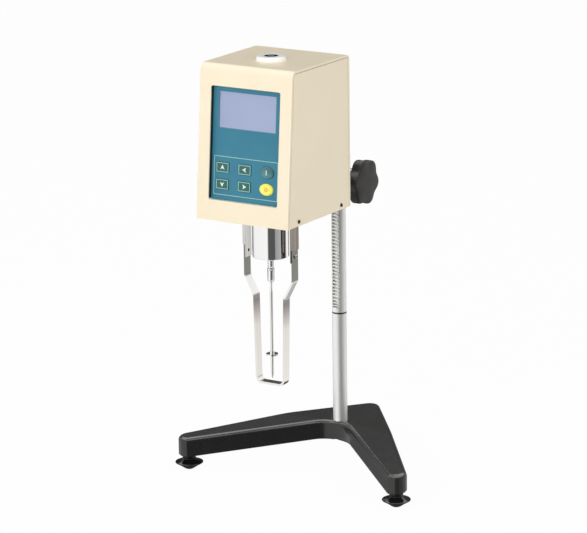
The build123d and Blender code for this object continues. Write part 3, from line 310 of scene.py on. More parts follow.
# ---------------------------------------------------------------- finishes
@dataclass(frozen=True)
class SkinFinish:
    """Sprayed enamel or moulded plastic: soft patches, a fine grain and an even gloss."""

    name: str
    colour: Rgb
    patch: Rgb
    roughness: float = 0.4
    spread: float = 0.12
    grain_scale: float = 1500.0
    grain_depth: float = 0.00002
    patch_scale: float = 9.0
    coat: float = 0.0
    coat_roughness: float = 0.1
    dust: float = 0.0
    specular: float = 0.5

    def build(self) -> Material:
        """Make the material.

        Returns:
            The finished material.
        """
        material, shader = open_material(self.name)
        tree = material.node_tree
        vector = object_vector(tree)
        skin = EFFECTS.place(tree, Effect.MOTTLE, {
            "Vector": vector, "Colour": linear(*self.colour), "Patch Colour": linear(*self.patch),
            "Patch Scale": self.patch_scale, "Grain Scale": self.grain_scale,
            "Roughness": self.roughness, "Roughness Spread": self.spread})
        colour = skin.outputs["Colour"]
        if self.dust:
            colour = EFFECTS.place(tree, Effect.DUST, {
                "Vector": vector, "Colour": colour, "Amount": self.dust}).outputs["Colour"]
        bump = add_node(tree, "Bump", {"Height": skin.outputs["Height"], "Distance": self.grain_depth,
                                       "Strength": 0.6})
        fill_inputs(tree, shader, {
            "Base Color": colour, "Roughness": skin.outputs["Roughness"],
            "Normal": bump.outputs["Normal"], "Coat Weight": self.coat, "Coat Roughness": self.coat_roughness,
            "Specular IOR Level": self.specular})
        return material


@dataclass(frozen=True)
class MetalFinish:
    """Bare metal with fine lines along one direction, and optional painted reflections: lighter and darker
    colour bands along one axis.
    """

    name: str
    colour: Rgb
    line: Rgb
    roughness: float = 0.15
    spread: float = 0.1
    stretch: Triple = (1, 1, 1)
    line_scale: float = 60.0
    line_depth: float = 0.00001
    # optional painted reflections: colour bands along one axis
    reflection_axis: str = "Z"
    reflection_span: tuple[float, float] = (0.0, 1.0)
    reflection_bands: tuple[tuple[float, Triple], ...] = ()

    def build(self) -> Material:
        """Make the material.

        Returns:
            The finished material.
        """
        material, shader = open_material(self.name)
        tree = material.node_tree
        lines = EFFECTS.place(tree, Effect.BRUSH, {
            "Vector": object_vector(tree, self.stretch), "Colour": linear(*self.colour),
            "Line Colour": linear(*self.line), "Line Scale": self.line_scale,
            "Roughness": self.roughness, "Roughness Spread": self.spread})
        bump = add_node(tree, "Bump", {"Height": lines.outputs["Height"], "Distance": self.line_depth,
                                       "Strength": 0.5})
        colour = self.paint_reflection_bands(tree, lines.outputs["Colour"]) if self.reflection_bands else lines.outputs["Colour"]
        fill_inputs(tree, shader, {
            "Base Color": colour, "Roughness": lines.outputs["Roughness"],
            "Normal": bump.outputs["Normal"], "Metallic": 1.0})
        return material

    def paint_reflection_bands(self, tree: Tree, colour: Socket) -> Socket:
        """Darken the metal in bands along one axis: painted reflections of the darker and brighter
        surroundings.

        Args:
            tree: The material's node tree.
            colour: The metal's colour.

        Returns:
            The colour with its painted reflection bands.
        """
        parts = add_node(tree, "SeparateXYZ", {0: object_vector(tree)})
        share = add_node(tree, "MapRange", {
            "Value": parts.outputs[self.reflection_axis], "From Min": self.reflection_span[0],
            "From Max": self.reflection_span[1]})
        shades = add_node(tree, "ValToRGB", {0: share.outputs[0]})
        fill_ramp(shades.color_ramp, [(place, (*tint, 1)) for place, tint in self.reflection_bands])
        return mix_colours(tree, 1.0, colour, shades.outputs[0], "MULTIPLY")


@dataclass(frozen=True)
class ClearFinish:
    """Clear glass or plastic with faint wipe marks in its gloss."""

    name: str
    colour: Rgb
    roughness: float = 0.03
    ior: float = 1.45

    def build(self) -> Material:
        """Make the material.

        Returns:
            The finished material.
        """
        material, shader = open_material(self.name)
        tree = material.node_tree
        skin = EFFECTS.place(tree, Effect.MOTTLE, {
            "Vector": object_vector(tree), "Colour": linear(*self.colour),
            "Patch Colour": linear(*self.colour), "Patch Scale": 20.0, "Grain Scale": 60.0,
            "Roughness": self.roughness, "Roughness Spread": 0.03})
        fill_inputs(tree, shader, {
            "Base Color": skin.outputs["Colour"], "Roughness": skin.outputs["Roughness"],
            "Transmission Weight": 1.0, "IOR": self.ior})
        return material


@dataclass(frozen=True)
class DisplayFinish:
    """The lit face of a liquid crystal display: a fine grid of dots on a soft uneven glow."""

    name: str
    colour: Rgb
    edge: Rgb
    dot: float = 0.5 * MM

    def build(self) -> Material:
        """Make the material.

        Returns:
            The finished material.
        """
        material, shader = open_material(self.name)
        tree = material.node_tree
        vector = object_vector(tree)
        glow = noise(tree, vector, 18.0, 1.0)
        tint = mix_colours(tree, glow, linear(*self.colour), linear(*self.edge))
        lattice = [add_node(tree, "TexWave", {"Vector": vector, "Scale": 1 / (self.dot * 20)},
                            bands_direction=axis).outputs["Fac"] for axis in ("X", "Z")]
        grid = maths(tree, "MINIMUM", *lattice)
        faint = add_node(tree, "MapRange", {"Value": grid, "To Min": 0.97, "To Max": 1.0})
        shade = mix_colours(tree, 1.0, tint, faint.outputs[0], "MULTIPLY")
        fill_inputs(tree, shader, {"Base Color": shade, "Roughness": 0.35})
        return material


FILM = (2200.0, 0.00001)            # scale and depth of the faint grain in printed film


def printed(name: str, colour: Rgb, patch: Rgb) -> Material:
    """Printed ink on film, in one colour with soft patches of another."""
    return SkinFinish(name, colour, patch, 0.4, 0.05, *FILM).build()


class Finishes:
    """Every material of the instrument, by the record's slot."""

    def __init__(self) -> None:
        """Build the materials once."""
        drawn = (1.0, 1.0, 0.02)
        guard_low, guard_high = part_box("guard")
        recipes = {
            "cream_paint": SkinFinish("cream_enamel", (243, 230, 202), (246, 233, 207), 0.42, 0.1,
                                      coat=0.15, coat_roughness=0.25),
            "black_enamel": SkinFinish("black_enamel", (29, 28, 28), (37, 36, 35), 0.3, 0.14, 700.0,
                                       0.00005, coat=0.6, coat_roughness=0.1, dust=0.02, specular=0.25),
            "black_gloss": SkinFinish("black_gloss_plastic", (17, 17, 17), (23, 23, 23), 0.12, 0.06,
                                      500.0, specular=0.4),
            "black_plastic": SkinFinish("black_plastic", (26, 26, 27), (33, 33, 33), 0.5, 0.15, 1800.0),
            "knob_black": SkinFinish("knob_plastic", (33, 32, 29), (42, 40, 38), 0.42, 0.18, 1400.0,
                                     0.00005, specular=0.35),
            "teal_film": SkinFinish("teal_film", (46, 118, 144), (54, 126, 148), 0.36, 0.08, *FILM,
                                    patch_scale=14.0),
            "key_green": SkinFinish("key_green_film", (40, 92, 88), (50, 104, 98), 0.3, 0.08, *FILM),
            "key_dark": SkinFinish("key_dark_film", (38, 96, 104), (70, 132, 136), 0.2, 0.05, *FILM,
                                   patch_scale=60.0, coat=0.6),
            "key_yellow": SkinFinish("key_yellow_film", (240, 236, 92), (248, 244, 120), 0.3, 0.06,
                                     *FILM, patch_scale=60.0),
            "white_plastic": SkinFinish("white_plastic", (253, 252, 249), (254, 254, 252), 0.3, 0.06),
            "board_green": SkinFinish("board_lacquer", (28, 84, 50), (36, 98, 58), 0.35, 0.1, 3000.0),
            "motor_grey": SkinFinish("motor_can", (120, 122, 126), (132, 134, 138), 0.35, 0.1, 900.0),
            "polished_steel": MetalFinish("polished_steel", (249, 249, 248), (241, 241, 240), 0.06,
                                          0.08, drawn),
            "steel": MetalFinish("plain_steel", (196, 196, 198), (176, 176, 180), 0.2, 0.2, (1, 1, 1),
                                 400.0),
            # The guard strip: the bands along its height are painted reflections, bright on the lower legs,
            # dark at the shoulder, a bright band above it and dark at the top.
            "brushed_steel": MetalFinish(
                "strip_painted_reflections", (249, 248, 245), (238, 236, 232), 0.1, 0.12, drawn,
                reflection_span=(guard_low.z, guard_high.z), reflection_bands=(
                    (0.0, (0.96, 0.95, 0.93)), (0.42, (0.88, 0.86, 0.83)), (0.53, (0.52, 0.48, 0.48)),
                    (0.60, (0.30, 0.27, 0.28)), (0.635, (0.34, 0.33, 0.32)), (0.65, (1, 1, 1)),
                    (0.765, (1, 1, 1)), (0.78, (0.27, 0.27, 0.25)), (1.0, (0.24, 0.24, 0.22)))),
            "cast_aluminium": MetalFinish("cast_aluminium", (190, 191, 193), (170, 171, 174), 0.34, 0.2,
                                          (1, 1, 1), 700.0, 0.00004),
            "brass": MetalFinish("turned_brass", (212, 178, 96), (190, 152, 74), 0.22, 0.15, (1, 1, 1),
                                 500.0),
            "display_lilac": DisplayFinish("display_face", (158, 170, 194), (168, 180, 203)),
            "clear_window": ClearFinish("display_window", (250, 250, 255), 0.02, 1.12),
            "vial_glass": ClearFinish("vial_glass", (40, 46, 40), 0.02, 1.45),
        }
        self.by_slot = {slot: recipe.build() for slot, recipe in recipes.items()}
        self.mint_print = printed("mint_print", (150, 200, 190), (162, 208, 198))
        self.white_print = printed("white_print", (226, 240, 232), (232, 244, 238))
        self.orange_print = printed("orange_print", (226, 150, 50), (232, 160, 60))
        self.liquid = SkinFinish("level_liquid", (22, 26, 28), (34, 40, 40), 0.08, 0.02, 800.0, 0.00001,
                                 specular=0.0).build()
        self.bubble = SkinFinish("level_bubble", (70, 78, 74), (84, 92, 86), 0.1, 0.02, 800.0, 0.00001,
                                 specular=0.1).build()
        self.satin_steel = MetalFinish("satin_steel", (253, 253, 251), (246, 246, 244), 0.52, 0.08,
                                       drawn).build()
        bracket_low, bracket_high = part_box("guard_brackets")
        self.by_node = {
            "lower_pole": self.satin_steel,
            # The brackets: the bands across X are painted reflections, bright on the left bracket and
            # brown-grey on the right.
            "guard_brackets": MetalFinish(
                "folded_strip_painted_reflections", (250, 249, 247), (140, 136, 130), 0.1, 0.1, drawn, 420.0, reflection_axis="X",
                reflection_span=(bracket_low.x, bracket_high.x), reflection_bands=(
                    (0.0, (1, 1, 1)), (0.45, (1, 1, 1)), (0.55, (0.5, 0.46, 0.42)),
                    (1.0, (0.42, 0.37, 0.33)))).build(),
        }
        self.dark_steel = MetalFinish("dark_screw_steel", (72, 66, 58), (54, 50, 44), 0.3, 0.15,
                                      (1, 1, 1), 400.0).build()

    def dress_frame(self) -> None:
        """Give every CAD node the material of its slot."""
        for entry in frame["record"]["subparts"]:
            node = frame["nodes"][entry["node"]]
            node.data.materials.clear()
            finish = self.by_node.get(entry["node"], self.by_slot[entry["material_slot"]])
            node.data.materials.append(finish)
        LOG.info("dressed %d nodes", len(frame["nodes"]))


# ---------------------------------------------------------------- shape helpers
def settle(shape: Shape, name: str, material: Material, body: str,
           smooth_angle: float = 32.0) -> bpy.types.Object:
    """Turn a finished shape into a piece that rides on a body.

    Args:
        shape: The shape, in the frame's metres. It is freed.
        name: The piece's name.
        material: Its finish.
        body: The CAD body that it moves with.
        smooth_angle: Edges flatter than this many degrees are shaded smooth.

    Returns:
        The piece.
    """
    bmesh.ops.remove_doubles(shape, verts=shape.verts, dist=0.002 * MM)
    bmesh.ops.recalc_face_normals(shape, faces=shape.faces)
    for face in shape.faces:
        face.smooth = True
    mesh = bpy.data.meshes.new(name)
    shape.to_mesh(mesh)
    shape.free()
    mesh.set_sharp_from_angle(angle=radians(smooth_angle))
    mesh.materials.append(material)
    piece = bpy.data.objects.new(name, mesh)
    bpy.context.scene.collection.objects.link(piece)
    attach(piece, body)
    LOG.info("%s: %d faces", name, len(mesh.polygons))
    return piece


def turned(shape: Shape, profile: Outline, axis: Matrix,
           steps: int = 64) -> None:
    """Turn a profile about an axis, as on a lathe.

    Args:
        shape: The shape that gets the turned surface.
        profile: (radius, height) pairs in metres, from one end to the other.
        axis: Its Z axis is the turning axis, its origin the foot of the heights.
        steps: Segments around.
    """
    verts = [shape.verts.new(axis @ Vector((radius, 0.0, height))) for radius, height in profile]
    edges = [shape.edges.new(pair) for pair in zip(verts, verts[1:])]
    bmesh.ops.spin(shape, geom=verts + edges, cent=axis.translation, axis=axis.col[2].to_3d(), angle=tau,
                   steps=steps, use_merge=True)
    bmesh.ops.remove_doubles(shape, verts=shape.verts, dist=0.002 * MM)


def arc(centre: tuple[float, float], radius: float, start: float, end: float, steps: int = 6) -> list:
    """Points of an arc for a profile.

    Args:
        centre: Its centre.
        radius: Its radius.
        start: First angle in degrees.
        end: Last angle in degrees.
        steps: Number of chords.

    Returns:
        The points, both ends included.
    """
    angles = (radians(start + (end - start) * step / steps) for step in range(steps + 1))
    return [(centre[0] + radius * cos(angle), centre[1] + radius * sin(angle)) for angle in angles]


def block(shape: Shape, size: Triple, place: Matrix) -> None:
    """Add a plain block.

    Args:
        shape: The shape that gets the block.
        size: Its full size along the place's axes.
        place: Where its centre goes, and which way it faces.
    """
    bmesh.ops.create_cube(shape, size=1.0, matrix=place @ Matrix.Diagonal((*size, 1.0)))


def slab(shape: Shape, outline: Outline, place: Matrix,
         height: float) -> None:
    """Extrude a flat outline.

    Args:
        shape: The shape that gets the slab.
        outline: Corner points in the place's X and Y.
        place: Its XY plane holds the outline.
        height: How far the slab stands along the place's Z.
    """
    face = shape.faces.new([shape.verts.new(place @ Vector((x, y, 0.0))) for x, y in outline])
    grown = bmesh.ops.extrude_face_region(shape, geom=[face])
    moved = [item for item in grown["geom"] if isinstance(item, bmesh.types.BMVert)]
    bmesh.ops.translate(shape, verts=moved, vec=place.col[2].to_3d() * height)


def rim(shape: Shape, width: float, tall: float, line: float, place: Matrix,
        height: float) -> None:
    """A printed rectangle's outline, as a thin raised frame.

    Args:
        shape: The shape that gets the frame.
        width: Outer width along the place's X.
        tall: Outer height along the place's Y.
        line: Width of the line.
        place: Its centre and plane.
        height: How far the print stands.
    """
    half_w, half_t = width / 2, tall / 2
    for size, shift in (((width, line), (0, half_t - line / 2)), ((width, line), (0, line / 2 - half_t)),
                        ((line, tall - 2 * line), (half_w - line / 2, 0)),
                        ((line, tall - 2 * line), (line / 2 - half_w, 0))):
        centre = place @ Matrix.Translation((shift[0], shift[1], height / 2))
        block(shape, (size[0], size[1], height), centre)


def upright(x: float, y: float, z: float) -> Matrix:
    """A place whose Z axis is the frame's."""
    return Matrix.Translation((x, y, z))


def facing(origin: Vector, normal: Triple,
           across: Triple) -> Matrix:
    """A place that looks along a normal.

    Args:
        origin: Its origin.
        normal: The direction of its Z axis.
        across: The direction of its X axis.

    Returns:
        The place as a matrix.
    """
    z_axis, x_axis = Vector(normal).normalized(), Vector(across).normalized()
    turn = Matrix((x_axis, z_axis.cross(x_axis), z_axis)).transposed().to_4x4()
    return Matrix.Translation(origin) @ turn


class Side(Enum):
    """Left or right of the centre plane, as the operator sees it."""

    LEFT = -1
    RIGHT = 1


# ---------------------------------------------------------------- lift knob
@dataclass
class LiftKnob:
    """The lobed hand wheel of the rack drive."""

    finish: Material
    lobes: int = 6
    turn: float = -11.0
    radius: float = 24.4 * MM
    valley: float = 20.9 * MM
    rim_width: float = 10.9 * MM
    edge: float = 2.6 * MM
    hub_radius: float = 9.9 * MM
    dome_steps: tuple[tuple[float, float], ...] = (
        (3.5 * MM, 0.35 * MM), (5.0 * MM, 0.25 * MM), (6.0 * MM, 0.12 * MM))
    segments: int = 216

    def radius_at(self, angle: float) -> float:
        """Radius of the lobed rim.

        Args:
            angle: Angle about the shaft, in radians.

        Returns:
            The radius in metres.
        """
        wave = 0.5 + 0.5 * cos(self.lobes * (angle - radians(self.turn)))
        return self.valley + (self.radius - self.valley) * wave ** 0.85

    def build(self) -> None:
        """Model the knob with its domed face and its hub."""
        low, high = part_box("lift_knob")
        pinion_low, pinion_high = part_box("pinion_shaft")
        centre = Vector((0.0, (pinion_low.y + pinion_high.y) / 2, (pinion_low.z + pinion_high.z) / 2))
        rise = sum(step[1] for step in self.dome_steps)
        back = high.x - rise - self.rim_width
        place = facing(centre + Vector((back, 0, 0)), (1, 0, 0), (0, 1, 0))
        shape = bmesh.new()
        ring = bmesh.ops.create_circle(shape, cap_ends=True, segments=self.segments, radius=1.0)
        for vert in ring["verts"]:
            angle = atan2(vert.co.y, vert.co.x)
            reach = self.radius_at(angle)
            vert.co = place @ Vector((reach * cos(angle), reach * sin(angle), 0.0))
        grown = bmesh.ops.extrude_face_region(shape, geom=list(shape.faces))
        moved = [item for item in grown["geom"] if isinstance(item, bmesh.types.BMVert)]
        bmesh.ops.translate(shape, verts=moved, vec=(self.rim_width, 0, 0))
        flats = [face for face in shape.faces if len(face.verts) > 4]
        rims = list({edge for face in flats for edge in face.edges})
        bmesh.ops.bevel(shape, geom=rims, offset=self.edge, segments=5, profile=0.5, affect="EDGES",
                        material=-1)
        front = max((face for face in shape.faces if len(face.verts) > 4),
                    key=lambda face: face.calc_center_median().x)
        reach = self.radius - self.edge
        for inset, depth in self.dome_steps:
            front = bmesh.ops.extrude_discrete_faces(shape, faces=[front])["faces"][0]
            share = 1 - inset / reach
            reach -= inset
            bmesh.ops.scale(shape, vec=(1, share, share), verts=front.verts,
                            space=Matrix.Translation(-centre))
            bmesh.ops.translate(shape, vec=(depth, 0, 0), verts=front.verts)
        hub = facing(centre + Vector((low.x, 0, 0)), (1, 0, 0), (0, 1, 0))
        long = back - low.x
        turned(shape, [(0, 0), (self.hub_radius, 0), (self.hub_radius, long), (0, long)], hub)
        knob = settle(shape, "star_knob", self.finish, "pinion", 40.0)
        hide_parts("lift_knob")


# ---------------------------------------------------------------- rack rod
@dataclass
class RackRod:
    """The upper rod: a milled slot down its front, and the toothed bar that lies in it."""

    finish: Material
    bar_finish: Material
    slot_half: float = 4.1 * MM
    bar_left: float = 4.0 * MM
    bar_right: float = 2.3 * MM
    tip_depth: float = 6.4 * MM
    floor_depth: float = 3.3 * MM
    pitch: float = 3.6 * MM
    pressure_angle: float = 20.0
    runout: float = 3.4 * MM
    end_gap: float = 0.4 * MM           # between the slot's lower end and the bar
    depth_in_modules: float = 2.25

    def build(self) -> None:
        """Model the rod and its toothed bar."""
        low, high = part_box("rack_rod")
        radius = (high.x - low.x) / 2
        centre_y = high.y - radius
        depth = self.depth_in_modules * self.pitch / pi
        tip_y = centre_y - self.tip_depth
        root_y = tip_y + depth
        roots = sorted({round(vert.co.z, 6) for vert in frame["nodes"]["rack_rod"].data.vertices
                        if abs(vert.co.y - root_y) < 0.02 * MM})
        root_half = (roots[1] - roots[0]) / 2
        tip_half = root_half + depth * tan(radians(self.pressure_angle))
        gaps = [(roots[place] + roots[place + 1]) / 2 for place in range(0, len(roots) - 1, 2)]
        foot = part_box("stop_ring")[1].z
        start = gaps[0] - self.runout
        axis = upright(0.0, centre_y, 0.0)
        shape = bmesh.new()
        turned(shape, [(0, foot), (radius, foot), (radius, start), (0, start)], axis, 96)
        opening = degrees(asin(self.slot_half / radius))
        outline = [*arc((0, 0), radius, opening - 90, 270 - opening, 84),
                   (-self.slot_half, -self.floor_depth), (self.slot_half, -self.floor_depth)]
        slab(shape, outline, upright(0.0, centre_y, start), high.z - start)
        rod = settle(shape, "slotted_rod", self.finish, "stand")
        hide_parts("rack_rod")
        floor_y = centre_y - self.floor_depth
        end = start + self.end_gap
        teeth = [(floor_y, end), (root_y, end), (tip_y, end + depth)]
        for gap in gaps:
            teeth += [(tip_y, gap - tip_half), (root_y, gap - root_half), (root_y, gap + root_half),
                      (tip_y, gap + tip_half)]
        teeth += [(tip_y, high.z), (floor_y, high.z)]
        shape = bmesh.new()
        slab(shape, teeth, facing(Vector((-self.bar_left, 0, 0)), (1, 0, 0), (0, 1, 0)),
             self.bar_left + self.bar_right)
        bar = settle(shape, "toothed_bar", self.bar_finish, "stand")


# ---------------------------------------------------------------- levelling feet
@dataclass
class LevellingFeet:
    """Three turned levelling feet with a thin rim, a grooved neck and a screwed stud."""

    finish: Material
    stud_finish: Material
    tip_radius: float = 3.6 * MM
    rim_radius: float = 14.6 * MM
    rim_height: float = 7.2 * MM
    rim_round: float = 0.7 * MM
    neck_radius: float = 7.3 * MM
    groove_depth: float = 1.1 * MM
    shoulder: float = 10.9 * MM
    top: float = 14.9 * MM
    stud_radius: float = 3.9 * MM
    thread_pitch: float = 1.25 * MM
    thread_depth: float = 0.5 * MM
    names: tuple[str, ...] = ("front_left", "front_right", "rear")

    def profile(self) -> Outline:
        """Half section of the moulded knob.

        Returns:
            (radius, height) pairs.
        """
        groove = (self.shoulder + self.top) / 2
        neck, waist = self.neck_radius, self.neck_radius - self.groove_depth
        return [
            (0, 0), (self.tip_radius, 0), (self.tip_radius + 1.4 * MM, 0.7 * MM),
            (self.rim_radius * 0.72, self.rim_height - 2.7 * MM),
            *arc((self.rim_radius - self.rim_round, self.rim_height), self.rim_round, -70, 80),
            (self.rim_radius * 0.76, self.rim_height + 1.7 * MM),
            (neck + 0.9 * MM, self.shoulder - 0.9 * MM),
            *arc((neck - 0.6 * MM, self.shoulder + 0.6 * MM), 0.6 * MM, -60, 60, 4),
            (waist, groove - 0.3 * MM), (waist, groove + 0.3 * MM),
            *arc((neck - 0.7 * MM, self.top - 0.8 * MM), 0.7 * MM, -60, 80, 5),
            (self.stud_radius, self.top), (0, self.top),
        ]

    def build(self) -> None:
        """Model each foot and its stud."""
        for name in self.names:
            node = f"levelling_foot_{name}"
            low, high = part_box(node)
            axis = upright((low.x + high.x) / 2, (low.y + high.y) / 2, 0.0)
            shape = bmesh.new()
            turned(shape, self.profile(), axis)
            foot = settle(shape, f"foot_knob_{name}", self.finish, f"foot_{name}", 45.0)
            shape = bmesh.new()
            thread = [(0, self.top)]
            turns = int((high.z - self.top) / self.thread_pitch) - 1
            for turn in range(turns):
                start = self.top + turn * self.thread_pitch
                thread += [(self.stud_radius, start),
                           (self.stud_radius - self.thread_depth, start + self.thread_pitch / 2)]
            thread += [(self.stud_radius, self.top + turns * self.thread_pitch), (0, high.z - 0.1 * MM)]
            turned(shape, thread, axis, 40)
            stud = settle(shape, f"foot_stud_{name}", self.stud_finish, f"foot_{name}", 45.0)
            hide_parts(node)


# ---------------------------------------------------------------- spindle coupling and disc
@dataclass
class SpindleCoupling:
    """The knurled two-stage nut that holds the spindle, and the collar of the spindle's disc."""

    finish: Material
    collar_finish: Material
    upper_radius: float = 3.3 * MM
    lower_radius: float = 3.7 * MM
    upper_share: float = 0.42
    knurl_depth: float = 0.6 * MM
    knurl_pitch: float = 1.1 * MM
    plain_end: float = 0.7 * MM
    segments: int = 26
    collar_radius: float = 2.5 * MM
    collar_height: float = 2.6 * MM
    collar_bore: float = 1.4 * MM
    disc_rise: float = 26.0 * MM        # the disc above the spindle's lower end

    def stage(self, shape: Shape, axis: Matrix, radius: float, low: float,
              high: float) -> None:
        """Add one knurled stage with plain chamfered ends.

        Args:
            shape: The shape that gets the stage.
            axis: The spindle's axis.
            radius: Outer radius.
            low: Lower end.
            high: Upper end.
        """
        rows = max(2, round((high - low - 2 * self.plain_end) / self.knurl_pitch))
        pitch = (high - low - 2 * self.plain_end) / rows
        before = set(shape.verts)
        knurled = [(radius, low + self.plain_end + row * pitch) for row in range(rows + 1)]
        profile = [(0, low), (radius - self.plain_end, low), (radius, low + self.plain_end / 2), *knurled,
                   (radius, high - self.plain_end / 2), (radius - self.plain_end, high), (0, high)]
        turned(shape, profile, axis, self.segments)
        inverse = axis.inverted()
        for vert in set(shape.verts) - before:
            local = inverse @ vert.co
            row = (local.z - low - self.plain_end) / pitch
            if -0.1 < row < rows + 0.1 and 0 < round(row) < rows:
                column = round(atan2(local.y, local.x) / tau * self.segments)
                if (column + round(row)) % 2:
                    local.xy = local.xy * (1 - self.knurl_depth / radius)
                    vert.co = axis @ local

    def build(self) -> None:
        """Model the nut and the collar."""
        low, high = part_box("coupling_nut")
        axis = upright((low.x + high.x) / 2, (low.y + high.y) / 2, 0.0)
        step = high.z - (high.z - low.z) * self.upper_share
        shape = bmesh.new()
        self.stage(shape, axis, self.upper_radius, step, high.z)
        self.stage(shape, axis, self.lower_radius, low.z, step)
        nut = settle(shape, "knurled_nut", self.finish, "measuring_spindle", 1.0)
        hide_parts("coupling_nut")
        disc_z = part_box("spindle")[0].z + self.disc_rise
        foot, top = disc_z - self.collar_height, disc_z + self.collar_height
        reach = self.collar_radius
        shape = bmesh.new()
        turned(shape, [(self.collar_bore, foot), (reach - 0.5 * MM, foot),
                       (reach, disc_z - self.collar_height / 2), (reach, disc_z + 1.0 * MM),
                       (reach - 0.6 * MM, top), (self.collar_bore, top)], axis, 32)
        collar = settle(shape, "disc_collar", self.collar_finish, "measuring_spindle")


# ---------------------------------------------------------------- bubble level
@dataclass
class BubbleLevel:
    """The bull's-eye level on the head: dark liquid under a domed glass, with its circle and bubble."""

    liquid: Material
    line: Material
    bubble: Material
    radius: float = 7.3 * MM
    circle_radius: float = 2.6 * MM
    circle_line: float = 0.35 * MM
    bubble_radius: float = 1.7 * MM
    glass_sunk: float = 0.5 * MM        # the glass below the ring's top
    dome_rise: float = 0.25 * MM
    dome_steps: int = 6

    def build(self) -> None:
        """Model the vial with its circle and bubble."""
        low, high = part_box("level_vial")
        axis = upright((low.x + high.x) / 2, (low.y + high.y) / 2, 0.0)
        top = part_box("level_ring")[1].z - self.glass_sunk
        shares = [1 - step / self.dome_steps for step in range(self.dome_steps + 1)]
        dome = [(self.radius * share, top + self.dome_rise * (1 - share ** 2)) for share in shares]
        shape = bmesh.new()
        turned(shape, [(0, low.z), (self.radius, low.z), *dome], axis)
        vial = settle(shape, "level_liquid", self.liquid, "head")
        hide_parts("level_vial")
        shape = bmesh.new()
        inner, outer = self.circle_radius, self.circle_radius + self.circle_line
        turned(shape, [(inner, top + 0.2 * MM), (inner, top + 0.3 * MM), (outer, top + 0.3 * MM),
                       (outer, top + 0.15 * MM), (inner, top + 0.2 * MM)], axis)
        circle = settle(shape, "level_circle", self.line, "head")
        shape = bmesh.new()
        turned(shape, [(0, top + 0.2 * MM), (self.bubble_radius, top + 0.24 * MM),
                       (self.bubble_radius * 0.8, top + 0.4 * MM), (0, top + 0.45 * MM)], axis, 40)
        bubble = settle(shape, "level_bubble", self.bubble, "head", 80.0)


# ---------------------------------------------------------------- front panel
class Arrow(Enum):
    """The way a key's arrow points, as a turn from straight up, in degrees."""

    UP = 0
    LEFT = 90
    DOWN = 180
    RIGHT = 270


